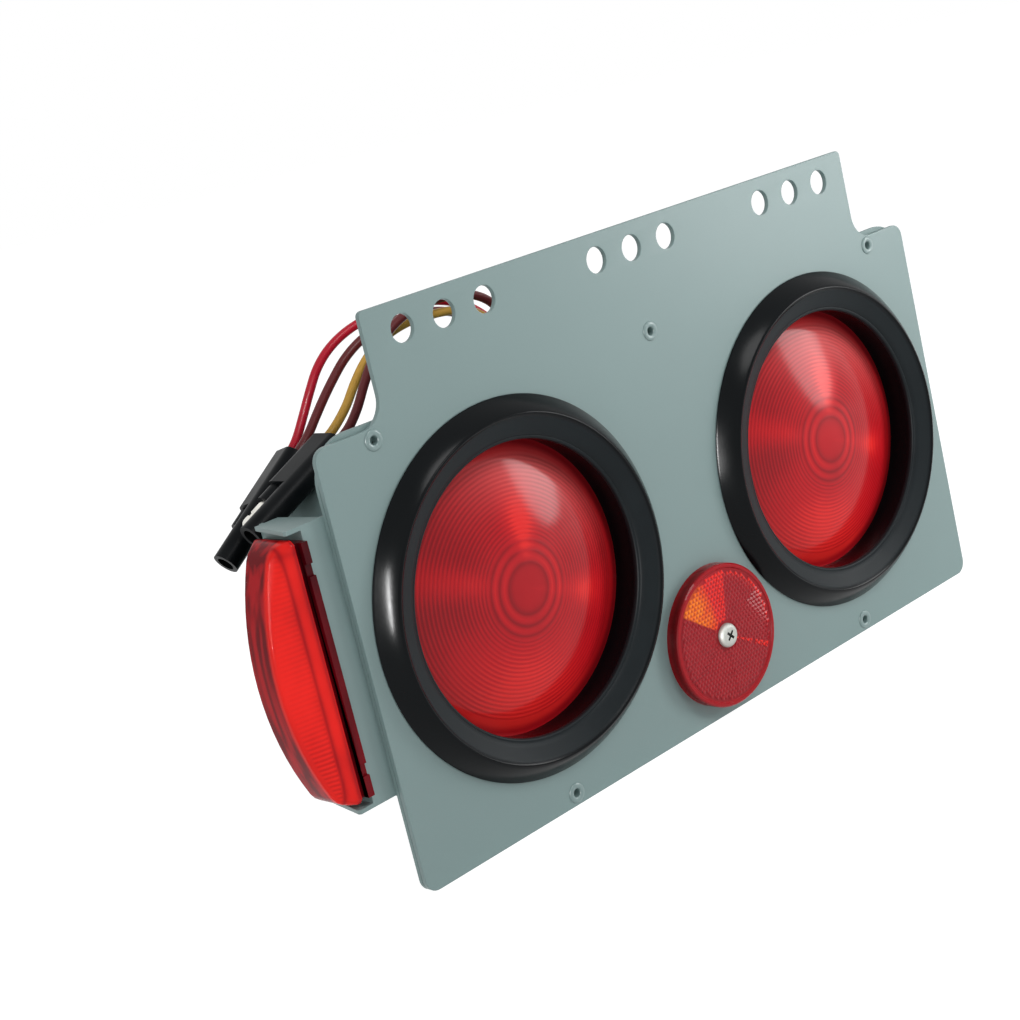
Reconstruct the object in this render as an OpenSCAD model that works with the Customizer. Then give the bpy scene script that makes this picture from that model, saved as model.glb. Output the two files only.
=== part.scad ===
// Rear combination lamp module for a trailer: a painted steel panel with two rubber-mounted
// round lamps, a reflex reflector, a side marker on a folded bracket, a deep-drawn rear cover
// and two leads with moulded plugs. X runs along the panel, +Y to its rear, +Z up. The origin
// is the middle hole of the bolting strip, on the panel's front face.

/* [Panel] */
// Width of the panel below its bolting strip
panel_w = 312.8; // [311:0.1:340]
// Height of the panel with its bolting strip
panel_h = 189.7; // [186:0.1:210]
// Height of the panel's wide part
shoulder_h = 153; // [151:0.1:156]
// Width of each shoulder beside the bolting strip
shoulder_w = 30.15; // [25.15:0.5:38.15]
// Thickness of the panel's sheet
panel_t = 2; // [1.5:0.1:3]
// Corner radius of the wide part
panel_corner = 5; // [2:0.5:8]
// Corner radius at the strip's top
strip_corner = 2; // [0.5:0.5:5]
// Fillet between the strip and each shoulder
notch_fillet = 9.5; // [4:0.5:14]

/* [Bolt holes] */
// Bore of each bolt hole
bolt_bore = 9.5; // [6.5:0.1:12]
// Pitch of the three holes in a group
bolt_pitch = 18.4; // [16:0.1:25]
// Distance from the strip's end to the middle of its outer group
group_inset = 34.55; // [30.55:0.5:40.55]
// Distance of the row of holes below the strip's top edge
row_drop = 9.5; // [8:0.1:14]

/* [Rear cover] */
// Width of the flange at each end of the pan
pan_side = 11.4; // [10.4:0.1:11.4]
// Height of the drawn pan where it leaves its flange
pan_h = 127.5; // [125:0.5:128]
// Width of the flange below the pan
pan_rise = 14.4; // [13.5:0.1:15]
// Depth of the cover behind the panel
cover_depth = 62; // [58:0.5:80]
// Thickness of the cover's sheet
cover_t = 1.5; // [1:0.1:2]
// Draft angle of the drawn walls
draft = 4.6; // [3:0.1:5]
// Outside radius of the pan's rear edge
pan_edge_r = 18; // [10:0.5:19]
// Bend radius between flange and wall
pan_base_r = 3; // [2:0.5:4]
// How far the flange stands above the panel's shoulders
flange_rise = 1.8; // [0:0.1:3]
// Corner radius at the flange's top
flange_corner = 15; // [5:0.5:16]
// Bore of the spare holes in the free end of the flange
spare_bore = 4; // [3:0.1:5]
// Distance of the spare holes from the flange's end
spare_inset = 4.4; // [4:0.1:5]
// Height of the lower spare hole above the panel's lower edge
spare_rise = 28.7; // [22:0.1:34]
// Distance between the two spare holes
spare_pitch = 96.9; // [90:0.1:104]

/* [Rivets] */
// Diameter of a rivet's shank
rivet_d = 4.8; // [4:0.1:5]
// Diameter of a rivet's button head
rivet_head_d = 8.4; // [7.5:0.1:8.6]
// Height of a rivet's button head
rivet_head_h = 1.2; // [0.8:0.1:2]
// Outer diameter of the rolled clinch on the front
clinch_d = 7.2; // [6.4:0.1:8]
// Bore of the rolled clinch
clinch_bore = 3; // [2:0.1:3.4]
// Height of the rolled clinch
clinch_h = 0.6; // [0.4:0.1:1]
// Distance of the outer top rivets from the panel's ends
top_rivet_inset = 23.9; // [22.4:0.1:26.4]
// Distance of the top rivets below the shoulders
top_rivet_drop = 3.8; // [3.6:0.1:4]
// Distance of the bottom rivets from the panel's ends
bottom_rivet_inset = 71.4; // [36.4:0.5:86.4]
// Distance of the bottom rivets above the lower edge
bottom_rivet_rise = 4.6; // [4:0.1:7]

/* [Round lamps] */
// Distance of each lamp's middle from the panel's end
lamp_inset = 71.25; // [71.15:0.05:71.85]
// Height of the lamps' middles above the panel's lower edge
lamp_rise = 81.4; // [81:0.1:81.6]
// Diameter of a lamp's rim
lamp_d = 108.6; // [108:0.1:109]
// Thickness of the lens where it lies in the rubber
lens_rim_t = 2.1; // [1.5:0.1:3]
// Thickness of the lamp body's flange behind the lens
body_rim_t = 2; // [1.5:0.1:3]
// How far the dome of the lens stands in front of the panel
dome_stand = 1.5; // [0.5:0.1:4]
// Wall of the lens
lens_t = 2.4; // [2:0.1:3]
// Pitch of the fine optic rings
ring_pitch = 1.5; // [1:0.1:2.5]
// Height of the fine optic rings
ring_h = 0.5; // [0.3:0.1:0.8]
// Depth of the reflector bowl
bowl_depth = 21; // [18:0.5:24]
// Wall of the lamp body
bowl_t = 2; // [1.5:0.1:3]
// Diameter of the boss with the plug socket
socket_boss_d = 38; // [36:0.5:44]
// Depth of the plug socket
socket_depth = 7; // [5:0.5:9]
// Length of the plug socket
socket_l = 31; // [28:0.5:33]
// Width of the plug socket
socket_w = 12; // [10:0.5:14]
// Diameter of a contact pin
pin_d = 3; // [2:0.1:3.4]
// Pitch of the contact pins
pin_pitch = 10; // [9.8:0.1:11]
// Diameter of the bulb's glass
bulb_d = 18; // [16:0.5:22]
// Diameter of the bulb's base
bulb_base_d = 15; // [13:0.1:16]

/* [Lamp rubber] */
// Cut-out of the panel round the rubber
lamp_bore = 114.3; // [114:0.1:114.6]
// Diameter of the rubber's front flange
rubber_d = 133.4; // [130:0.1:138]
// Height of the rubber's ridge in front of the panel
ridge_h = 6.8; // [6:0.1:10]
// Diameter of the opening in the rubber
rubber_opening = 102.4; // [101:0.1:103]
// How far the rubber's lip stands in front of the panel
lip_stand = 3.2; // [2:0.1:4]
// Distance from the panel's front to the seat of the lamp
seat_depth = 8.8; // [8:0.1:10.5]

/* [Reflex reflector] */
// Diameter of the reflector, less where the lamps leave no room for it
reflector_size = 54.2; // [50:0.1:58]
// Thickness of the reflector
reflector_t = 5.3; // [4.6:0.1:7]
// Height of its middle above the panel's lower edge
reflector_rise = 31.2; // [29:0.1:34]
// Diameter of the screw
screw_d = 4.2; // [3:0.1:5]
// Diameter of the screw's head
screw_head_d = 9.2; // [8:0.1:10]
// Length of the screw behind the reflector's face
screw_l = 14; // [12.5:0.5:20]

/* [Side marker] */
// Height of the marker's middle above the panel's lower edge
marker_rise = 83.7; // [81:0.1:86]
// How far the marker bracket stands beyond the panel's end
bracket_reach = 9.4; // [8:0.1:12]
// Height of the marker bracket
bracket_h = 96; // [86:0.5:104]
// Depth of the bracket's web behind the cover's flange
bracket_depth = 22.5; // [20:0.5:26]
// Thickness of the bracket's sheet
bracket_t = 1.5; // [1:0.1:2]
// Distance of the marker's base from each end of its bracket
marker_end = 4.75; // [3:0.25:6]
// Width of the marker's base
marker_w = 23.5; // [22:0.1:25]
// Depth of the marker's middle behind the panel's front
marker_y = 13.2; // [12.6:0.1:14.5]
// Thickness of the marker's base plate
marker_base_t = 2.5; // [2:0.1:3]
// How far the marker's lens reaches beyond each end of its base
lens_reach = 1.5; // [0.5:0.1:2]
// Height of the marker's lens above its base
marker_lens_h = 16.7; // [15:0.1:20]
// Width of the marker's lens at its base
marker_lens_w = 21; // [19.5:0.1:21.5]
// Width of the marker's lens at its crown
marker_crown_w = 12.5; // [11:0.1:14]
// Wall of the marker's lens
marker_wall = 1.8; // [1.2:0.1:2]
// Radius of the crown's arc along the marker
crown_r = 100; // [90:1:120]

/* [Leads and plugs] */
// Diameter of a lead
lead_d = 3.3; // [3:0.1:3.6]
// Diameter of the rubber bush that the leads leave by
bush_d = 18; // [16:0.5:22]
// Height of the rubber bush above the cover
bush_h = 8; // [6:0.5:10]
// Width of a plug's barrel
barrel_d = 9; // [8:0.1:10]
// Length of the block where a plug's two leads go in
plug_block_l = 24; // [20:0.5:28]
// Length of the socket barrel beyond the block
barrel_l = 22; // [18:0.5:26]
// Length of the neck round the bare pin
neck_l = 7; // [5:0.5:10]
// Diameter of the bare bullet pin
bullet_d = 4.4; // [4:0.1:5]
// Length of the bare bullet pin
bullet_l = 11; // [8:0.5:14]

/* [Fits] */
// Gap round a shank or pin in its hole
pin_gap = 0.15; // [0.1:0.05:0.3]
// Gap round the lamp and the panel's edge in the rubber
rubber_gap = 0.15; // [0.1:0.05:0.2]

/* [Hidden] */
$fn = 72;

paint = "#7f8d8b";
paint_shade = "#71807e";
rubber = "#1c1d1f";
red_lens = "#c8202a";
metal = "#c4c6c8";
brass = "#c9a85a";

strip_w = panel_w - 2 * shoulder_w;
group_pitch = strip_w / 2 - group_inset;
pan_w = panel_w - 2 * pan_side;
top_rivet_x = panel_w / 2 - top_rivet_inset;
bottom_rivet_x = panel_w / 2 - bottom_rivet_inset;
lamp_pitch = panel_w - 2 * lamp_inset;
lamp_gap = 2;
lamp_to_reflector = norm([lamp_pitch / 2, lamp_rise - reflector_rise]);
reflector_d = min(reflector_size, 2 * (lamp_to_reflector - lamp_gap) - rubber_d);

strip_top = row_drop;
panel_low = strip_top - panel_h;
shoulder = panel_low + shoulder_h;
cut = 0.5;

flange_front = panel_t;
flange_back = panel_t + cover_t;
pan_back = panel_t + cover_depth;
corner_core = 0.6;
edge_mid = pan_back - pan_edge_r;
corner_base = corner_core + (pan_edge_r + (edge_mid - flange_back) * sin(draft)) / cos(draft);
bend_mid = corner_core
    + (pan_edge_r + pan_base_r + (edge_mid - flange_back - pan_base_r) * sin(draft)) / cos(draft);
pan_low = panel_low + pan_rise;
pan_top = pan_low + pan_h;
core_x = pan_w / 2 - corner_base;
core_low = pan_low + corner_base;
core_top = pan_top - corner_base;

lamp_z = panel_low + lamp_rise;
lamp_r = lamp_d / 2;
lens_back = seat_depth + lens_rim_t;
body_back = lens_back + body_rim_t;
rubber_inner = rubber_opening / 2;
bowl_vertex = lens_back + bowl_depth;
bowl_r = lamp_r - 4;
boss_l = 9;
boss_back = bowl_vertex + bowl_t + boss_l;
socket_floor = boss_back - socket_depth;
bulb_floor = socket_floor - 1;
bulb_seat = bowl_vertex - 5;

reflector_z = panel_low + reflector_rise;
marker_z = panel_low + marker_rise;
web_out = -(panel_w / 2 + bracket_reach);
marker_face = web_out - marker_base_t;
marker_land = 1.5;
lens_foot = marker_face - marker_land;
marker_screw_r = 1.8;
marker_screw_head_r = 3.2;
marker_l = bracket_h - 2 * marker_end;
marker_lens_l = marker_l + 2 * lens_reach;
marker_screw_pitch = marker_l - 26.5;
marker_wire_r = 3;
bracket_rivet_pitch = bracket_h - 24;
bracket_rivet_head_r = 3.5;
bracket_rivet_head_h = 1.2;
spare_z = panel_low + spare_rise;
spare_x = panel_w / 2 - spare_inset;

bush_x = -35;
bush_y = 38;
gland_y = 32;
plug_pitch = 8;

red_route = [
    [-33, 41, -33.1], [-33, 41.5, -27], [-34, 42, -20.5], [-37, 42.5, -14.3], [-42, 43.5, -9],
    [-48.5, 44.5, -4.8], [-56, 45.5, -2], [-64, 46.5, -0.4], [-72.5, 47.5, 0.2], [-81, 48.5, 0],
    [-89.5, 49.5, -1], [-97.5, 50.5, -3.3], [-104.5, 51.5, -7], [-110, 52.5, -12],
    [-114.3, 53.5, -18.3], [-118.3, 55, -25.5], [-123, 56.2, -33], [-128.5, 56.4, -38.2]
];
brown_a_route = [
    [-37, 40.5, -33.1], [-37, 41, -27], [-38, 41.5, -21.5], [-40.5, 42, -16.5], [-44.5, 42.5, -12],
    [-50, 43, -8.5], [-57, 43.5, -5.8], [-65, 44, -4.2], [-73, 44.5, -3.6], [-81, 45, -3.8],
    [-89, 45.5, -5], [-96, 46, -7.5], [-102.5, 46.5, -11.3], [-108.3, 47, -16.2],
    [-113.5, 47.5, -21.2], [-118.5, 48, -26.5], [-123.7, 48.5, -32.1], [-129.6, 48.6, -36.4]
];
yellow_route = [
    [-37, 36, -32.7], [-37, 36, -26.5], [-38.5, 36, -20.5], [-42, 36, -14.5], [-47.5, 36, -9.5],
    [-54.5, 36, -6.5], [-62.5, 36, -5], [-70.5, 36.5, -4.5], [-78.5, 37, -4.5], [-86.5, 37.5, -6],
    [-94, 38, -9], [-100.5, 38.5, -13.5], [-106, 39, -19], [-111.5, 39, -25],
    [-118, 39, -30.2], [-124.5, 39, -34]
];
brown_b_route = [
    [-33, 36, -32.7], [-33, 36, -26], [-34, 35.5, -19], [-37, 35, -12.5], [-42, 34.5, -6.5],
    [-49, 34, -2.5], [-57, 33.5, -0.5], [-65, 33, 0.5], [-73, 32.5, 0.5], [-81, 32, -0.5],
    [-89, 31.5, -3], [-96, 31, -7], [-102.5, 31, -12.5], [-108, 31, -19],
    [-113, 31, -25.5], [-118.5, 31, -30.7], [-124.5, 31, -34]
];

function arc(mid_x, mid_y, r, from, to, steps) = [
    for (i = [0:steps])
        let (a = from + (to - from) * i / steps) [mid_x + r * cos(a), mid_y + r * sin(a)]
];

// How far the drafted wall has moved inward at a depth behind the panel's front
function wall_in(y) = (y - flange_back) * tan(draft);

dome_edge = rubber_inner + 0.3;
dome_sag = seat_depth + dome_stand;
dome_r = (dome_edge * dome_edge + dome_sag * dome_sag) / (2 * dome_sag);

// Depth of the lens's front at a radius, negative in front of the panel
function dome_y(r) = dome_r - sqrt(dome_r * dome_r - r * r) - dome_stand;

// Depth of the reflector bowl's mirrored face at a radius
function bowl_y(r) = lens_back + bowl_depth * (1 - pow(r / bowl_r, 2));

// Places its outline, drawn in X and Z, as a sheet from depth y to depth y + t
module sheet(y, t) {
    translate([0, y + t, 0]) rotate([90, 0, 0]) linear_extrude(t) children();
}

// Turns its outline, drawn as radius and depth, round an axis along Y
module turned() {
    rotate([-90, 0, 0]) rotate_extrude() children();
}

// A round hole or pin along Y from depth y0 to depth y1
module along_y(x, z, r, y0, y1) {
    translate([x, y0, z]) rotate([-90, 0, 0]) cylinder(r = r, h = y1 - y0);
}

// A round hole or pin along X from x0 to x1
module along_x(y, z, r, x0, x1) {
    translate([x0, y, z]) rotate([0, 90, 0]) cylinder(r = r, h = x1 - x0);
}

// A plate centred across, from height low to height high, with one radius at its two lower corners
// and another at its two upper corners
module rounded_plate(w, low, high, r_low, r_high) {
    for (side = [-1, 1]) {
        translate([side * (w / 2 - r_low), low + r_low]) circle(r_low);
        translate([side * (w / 2 - r_high), high - r_high]) circle(r_high);
    }
    r_max = max(r_low, r_high);
    translate([-w / 2 + r_max, low]) square([w - 2 * r_max, high - low]);
    translate([-w / 2, low + r_low]) square([w, high - low - r_low - r_high]);
    translate([-w / 2 + r_low, low]) square([w - 2 * r_low, 2 * r_low]);
    translate([-w / 2 + r_high, high - 2 * r_high]) square([w - 2 * r_high, 2 * r_high]);
}

module at_cover_rivets() {
    for (side = [-1, 1]) {
        translate([side * top_rivet_x, 0, shoulder - top_rivet_drop]) children();
        translate([side * bottom_rivet_x, 0, panel_low + bottom_rivet_rise]) children();
    }
    translate([0, 0, shoulder - top_rivet_drop]) children();
}

module at_bracket_rivets() {
    for (side = [-1, 1])
        translate([-spare_x, 0, marker_z + side * bracket_rivet_pitch / 2]) children();
}

module at_spare_holes() {
    for (step = [0, 1]) translate([spare_x, 0, spare_z + step * spare_pitch]) children();
}

// Copies its child to one lamp: side is -1 for the left lamp and 1 for the right one
module at_lamp(side) {
    translate([side * lamp_pitch / 2, 0, lamp_z]) children();
}

module panel_outline() {
    difference() {
        union() {
            rounded_plate(panel_w, panel_low, shoulder, panel_corner, panel_corner);
            rounded_plate(strip_w, shoulder - panel_corner * 2, strip_top, strip_corner, strip_corner);
            for (side = [-1, 1])
                translate([side * (strip_w / 2 + notch_fillet / 2), shoulder + notch_fillet / 2])
                    square(notch_fillet, center = true);
        }
        for (side = [-1, 1])
            translate([side * (strip_w / 2 + notch_fillet), shoulder + notch_fillet])
                circle(notch_fillet);
    }
}

module mounting_panel() {
    color(paint) difference() {
        sheet(0, panel_t) panel_outline();
        for (group = [-1:1], hole = [-1:1])
            along_y(group * group_pitch + hole * bolt_pitch, 0, bolt_bore / 2, -cut, panel_t + cut);
        for (side = [-1, 1])
            along_y(side * lamp_pitch / 2, lamp_z, lamp_bore / 2, -cut, panel_t + cut);
        at_cover_rivets() along_y(0, 0, rivet_d / 2 + pin_gap, -cut, panel_t + cut);
        along_y(0, reflector_z, screw_d / 2 + pin_gap, -cut, panel_t + cut);
    }
}

// Section of the drawn wall: distance from the corner's core, and depth. The sheet bends out of
// the flange, runs back under its draft and bends into the rear face.
module wall_section() {
    bend_y = flange_back + pan_base_r;
    polygon(concat(
        arc(bend_mid, bend_y, pan_base_r + cover_t, 270, 180 + draft, 5),
        arc(corner_core, edge_mid, pan_edge_r - cover_t, draft, 90, 8),
        [[0, pan_back - cover_t], [0, pan_back]],
        arc(corner_core, edge_mid, pan_edge_r, 90, draft, 8),
        arc(bend_mid, bend_y, pan_base_r, 180 + draft, 270, 5)
    ));
}

module drawn_pan() {
    core_w = 2 * core_x;
    core_h = core_top - core_low;
    for (side = [0, 1]) mirror([side, 0, 0]) {
        translate([core_x, 0, core_low]) linear_extrude(core_h) wall_section();
        translate([core_x, 0, core_low]) rotate([-90, 0, 0]) rotate_extrude(angle = 90) wall_section();
        translate([core_x, 0, core_top]) mirror([0, 0, 1])
            rotate([-90, 0, 0]) rotate_extrude(angle = 90) wall_section();
    }
    translate([core_x, 0, core_top]) rotate([0, -90, 0]) linear_extrude(core_w) wall_section();
    translate([core_x, 0, core_low]) mirror([0, 0, 1])
        rotate([0, -90, 0]) linear_extrude(core_w) wall_section();
    translate([-core_x, pan_back - cover_t, core_low]) cube([core_w, cover_t, core_h]);
}

module cover_flange() {
    sheet(flange_front, cover_t) difference() {
        rounded_plate(panel_w, panel_low, shoulder + flange_rise, panel_corner, flange_corner);
        translate([-core_x - bend_mid, core_low]) square([2 * (core_x + bend_mid), core_top - core_low]);
        translate([-core_x, core_low - bend_mid]) square([2 * core_x, core_top - core_low + 2 * bend_mid]);
        for (side = [-1, 1], z = [core_low, core_top])
            translate([side * core_x, z]) circle(bend_mid);
    }
}

// Points its child along the outward normal of the pan's top wall, from the wall's outer face
module on_top_wall(x, y) {
    translate([x, y, pan_top - wall_in(y)]) rotate([-draft, 0, 0]) children();
}

// Points its child along the outward normal of the pan's left wall, from the wall's outer face
module on_left_wall(y, z) {
    translate([-pan_w / 2 + wall_in(y), y, z]) rotate([0, 0, -draft]) rotate([0, -90, 0]) children();
}

bush_neck_r = bush_d / 2 - 2.5;
gland_neck_r = 4;
wall_cut = 5;

module rear_cover() {
    color(paint_shade) difference() {
        union() {
            cover_flange();
            drawn_pan();
        }
        at_cover_rivets() along_y(0, 0, rivet_d / 2 + pin_gap, 0, flange_back + cut);
        at_bracket_rivets() along_y(0, 0, spare_bore / 2, 0, flange_back + cut);
        at_spare_holes() along_y(0, 0, spare_bore / 2, 0, flange_back + cut);
        on_top_wall(bush_x, bush_y)
            cylinder(r = bush_neck_r + pin_gap, h = 2 * wall_cut, center = true);
        on_left_wall(gland_y, marker_z)
            cylinder(r = gland_neck_r + pin_gap, h = 2 * wall_cut, center = true);
    }
}

// Semi-tubular rivet: button head behind the cover, rolled clinch with its open bore in front
module clinched_rivet(d, grip_front, grip_back) {
    roll_r = (clinch_d - clinch_bore) / 4;
    roll_mid = clinch_bore / 2 + roll_r;
    head_edge = rivet_head_h * 0.4;
    turned() polygon(concat(
        [[0, grip_back - 1], [clinch_bore / 2, grip_back - 1]],
        [for (p = arc(0, 0, 1, 180, 360, 8)) [roll_mid + roll_r * p[0], grip_front + clinch_h * p[1]]],
        [[d / 2, grip_front], [d / 2, grip_back], [rivet_head_d / 2, grip_back],
         [rivet_head_d / 2, grip_back + head_edge],
         [rivet_head_d / 2 - 0.8, grip_back + rivet_head_h * 0.85],
         [rivet_head_d / 4, grip_back + rivet_head_h], [0, grip_back + rivet_head_h]]
    ));
}

module cover_rivets() {
    color(paint_shade) at_cover_rivets() clinched_rivet(rivet_d, 0, flange_back);
}

// Section of the lamp rubber: radius and depth. A swelling flank, the ridge, a sloping face and the
// lip in front, the seat of the lamp's rim and the barb behind the panel at the back.
module rubber_section() {
    outer = rubber_d / 2;
    ridge_in = 6.2;
    flank_foot = 0.4;
    flank_h = ridge_h - 0.1 - flank_foot;
    ridge_r = outer - ridge_in;
    groove = lamp_bore / 2 - rubber_gap;
    seat = lamp_r + rubber_gap;
    polygon(concat(
        [[groove, 0], [outer - 0.3, 0]],
        [for (f = [0:0.125:1])
            [outer - ridge_in * f, -flank_foot - flank_h * (0.7 * f + 0.3 * sin(90 * f))]],
        [[ridge_r - 0.6, -ridge_h], [ridge_r - 1.3, 0.2 - ridge_h], [ridge_r - 1.8, 0.8 - ridge_h],
         [rubber_inner + 0.8, -lip_stand - 0.2]],
        arc(rubber_inner, 0.8 - lip_stand, 0.8, -90, -180, 4),
        [[rubber_inner + 0.1, 1], [rubber_inner + 0.6, seat_depth],
         [seat, seat_depth], [seat, body_back], [rubber_inner + 0.8, body_back],
         [rubber_inner + 0.9, body_back + 1.6], [rubber_inner + 2.2, body_back + 3.2],
         [groove - 0.6, body_back + 3.2], [groove - 0.2, panel_t + 5],
         [lamp_bore / 2 + 1.1, panel_t + 0.8], [lamp_bore / 2 + 1.1, panel_t], [groove, panel_t]]
    ));
}

module lamp_grommet(side) {
    color(rubber) at_lamp(side) turned() rubber_section();
}

// Section of the lens: a dome with fine steps and three broad rings on its inner face
module lens_section() {
    fine_from = 18;
    fine_to = 45;
    broad_rings = [16.5, 13, 8.9];
    fine_rings = [for (r = [fine_to:-ring_pitch:fine_from]) r];
    inner_edge = lamp_r - 4;
    polygon(concat(
        [for (i = [0:12]) let (r = dome_edge * i / 12) [r, dome_y(r)]],
        [[lamp_r, seat_depth], [lamp_r, lens_back], [inner_edge, lens_back]],
        [for (r = fine_rings, tooth = [ring_h, 0]) [r, dome_y(r) + lens_t + tooth]],
        [for (r = broad_rings, tooth = [2 * ring_h, 0]) [r, dome_y(r) + lens_t + tooth]],
        [[0, dome_y(0) + lens_t]]
    ));
}

module lamp_lens(side) {
    color(red_lens) at_lamp(side) turned() lens_section();
}

// Section of the lamp body: the reflector bowl and the boss with the plug socket
module body_section() {
    boss_r = socket_boss_d / 2;
    base_hole = bulb_base_d / 2 + pin_gap;
    polygon(concat(
        [[bowl_r, lens_back], [lamp_r, lens_back], [lamp_r, body_back], [bowl_r + 1.5, body_back]],
        [for (i = [0:6]) let (r = bowl_r + (boss_r - bowl_r) * i / 6) [r, bowl_y(r) + bowl_t + 0.4]],
        [[boss_r, boss_back], [0, boss_back], [0, bulb_floor], [base_hole, bulb_floor]],
        [for (i = [8:-1:1]) let (r = base_hole + (bowl_r - base_hole) * (8 - i) / 8) [r, bowl_y(r)]]
    ));
}

module stadium(length, width) {
    square([length - width, width], center = true);
    for (side = [-1, 1]) translate([side * (length - width) / 2, 0]) circle(width / 2);
}

module lamp_body(side) {
    color("#b9bcbf") at_lamp(side) difference() {
        turned() body_section();
        sheet(socket_floor, socket_depth + cut) stadium(socket_l, socket_w);
        for (pin = [-1:1])
            along_y(pin * pin_pitch, 0, pin_d / 2 + pin_gap, bulb_floor, boss_back);
    }
}

module contact_pins(side) {
    color(brass) at_lamp(side) for (pin = [-1:1])
        along_y(pin * pin_pitch, 0, pin_d / 2, bulb_floor, boss_back - 1);
}

// Round glass on its neck
module bulb(side) {
    bulb_r = bulb_d / 2;
    neck_r = bulb_base_d / 2 - 1;
    neck_angle = acos(neck_r / bulb_r);
    color("#e6ecef") at_lamp(side) turned() polygon(concat(
        arc(0, bulb_seat - bulb_r, bulb_r, -90, neck_angle, 14),
        [[neck_r, bulb_seat], [0, bulb_seat]]
    ));
}

module bulb_base(side) {
    color(brass) at_lamp(side) along_y(0, 0, bulb_base_d / 2, bulb_seat, bulb_floor);
}

reflector_face = -reflector_t + 0.5;
reflector_lid = reflector_face + 2.2;
reflector_back_t = 1.6;

// Red cup of the reflector: raised rim, face and six ribs that part the prism fields behind it
module reflex_reflector() {
    outer = reflector_d / 2;
    hole = screw_d / 2 + pin_gap;
    color(red_lens) translate([0, 0, reflector_z]) {
        turned() polygon([
            [hole, reflector_face], [outer - 1.9, reflector_face], [outer - 1.5, -reflector_t],
            [outer - 0.5, -reflector_t], [outer, -reflector_t + 0.5], [outer, 0],
            [outer - 1.6, 0], [outer - 1.6, reflector_lid], [5, reflector_lid],
            [5, -reflector_back_t], [hole, -reflector_back_t]
        ]);
        for (rib = [0:5]) rotate([0, 30 + 60 * rib, 0])
            translate([4.5, reflector_lid - 0.1, -0.4])
                cube([outer - 5.6, -reflector_back_t - reflector_lid + 0.1, 0.8]);
    }
}

module reflector_back() {
    color("#8b1a1f") translate([0, 0, reflector_z]) difference() {
        along_y(0, 0, reflector_d / 2 - 1.6 - pin_gap, -reflector_back_t, 0);
        along_y(0, 0, screw_d / 2 + pin_gap, -reflector_back_t - cut, cut);
    }
}

module reflector_screw() {
    head_h = screw_head_d / 4;
    color(metal) translate([0, reflector_face, reflector_z]) difference() {
        turned() polygon(concat(
            [[0, -head_h]],
            arc(screw_head_d / 2 - head_h * 0.8, -head_h * 0.2, head_h * 0.8, -90, 0, 5),
            [[screw_head_d / 2, 0], [screw_d / 2, 0], [screw_d / 2, screw_l - 0.8],
             [screw_d / 2 - 0.8, screw_l], [0, screw_l]]
        ));
        for (turn = [45, 135]) rotate([0, turn, 0])
            translate([-screw_d / 2, -head_h - cut, -0.5]) cube([screw_d, cut + 1.3, 1]);
    }
}

washer_t = 1;
nut_t = 3.2;

module reflector_washer() {
    color(metal) translate([0, 0, reflector_z]) difference() {
        along_y(0, 0, screw_d * 1.2, panel_t, panel_t + washer_t);
        along_y(0, 0, screw_d / 2 + pin_gap, panel_t - cut, panel_t + washer_t + cut);
    }
}

module reflector_nut() {
    nut_y = panel_t + washer_t;
    color(metal) translate([0, 0, reflector_z]) difference() {
        sheet(nut_y, nut_t) circle(screw_d * 1.05, $fn = 6);
        along_y(0, 0, screw_d / 2 + pin_gap, nut_y - cut, nut_y + nut_t + cut);
    }
}

// One folded sheet: a foot strip behind the flange, a web along the marker, and two end plates
module marker_bracket() {
    foot_w = bracket_reach + spare_inset + 4;
    plate_in = web_out + 9;
    color(paint) difference() {
        union() {
            translate([web_out, flange_back, marker_z - bracket_h / 2])
                cube([foot_w, bracket_t, bracket_h]);
            translate([web_out, flange_back, marker_z - bracket_h / 2])
                cube([bracket_t, bracket_depth, bracket_h]);
            for (z = [marker_z - bracket_h / 2, marker_z + bracket_h / 2 - bracket_t])
                translate([0, 0, z]) linear_extrude(bracket_t) polygon([
                    [plate_in, flange_back], [web_out - 5.5, flange_back],
                    [web_out - 6, flange_back + 1], [web_out - 2.5, flange_back + bracket_depth - 1],
                    [plate_in - 2, flange_back + bracket_depth - 1]
                ]);
        }
        at_bracket_rivets() along_y(0, 0, spare_bore / 2, flange_back - cut, flange_back + bracket_t + cut);
        at_marker_screws()
            along_x(marker_y, 0, marker_screw_r + pin_gap, web_out - cut, web_out + bracket_t + cut);
        along_x(marker_y, marker_z, marker_wire_r, web_out - cut, web_out + bracket_t + cut);
    }
}

// Flush rivets of the bracket's foot, level with the flange's front so that the panel lies flat
module bracket_rivets() {
    shank_r = spare_bore / 2 - pin_gap;
    grip = flange_back + bracket_t;
    color(paint) at_bracket_rivets() turned() polygon([
        [0, flange_front], [shank_r, flange_front], [shank_r, grip], [bracket_rivet_head_r, grip],
        [bracket_rivet_head_r, grip + bracket_rivet_head_h * 0.4],
        [bracket_rivet_head_r * 0.75, grip + bracket_rivet_head_h * 0.9], [0, grip + bracket_rivet_head_h]
    ]);
}

module at_marker_screws() {
    for (side = [-1, 1]) translate([0, 0, marker_z + side * marker_screw_pitch / 2]) children();
}

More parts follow.
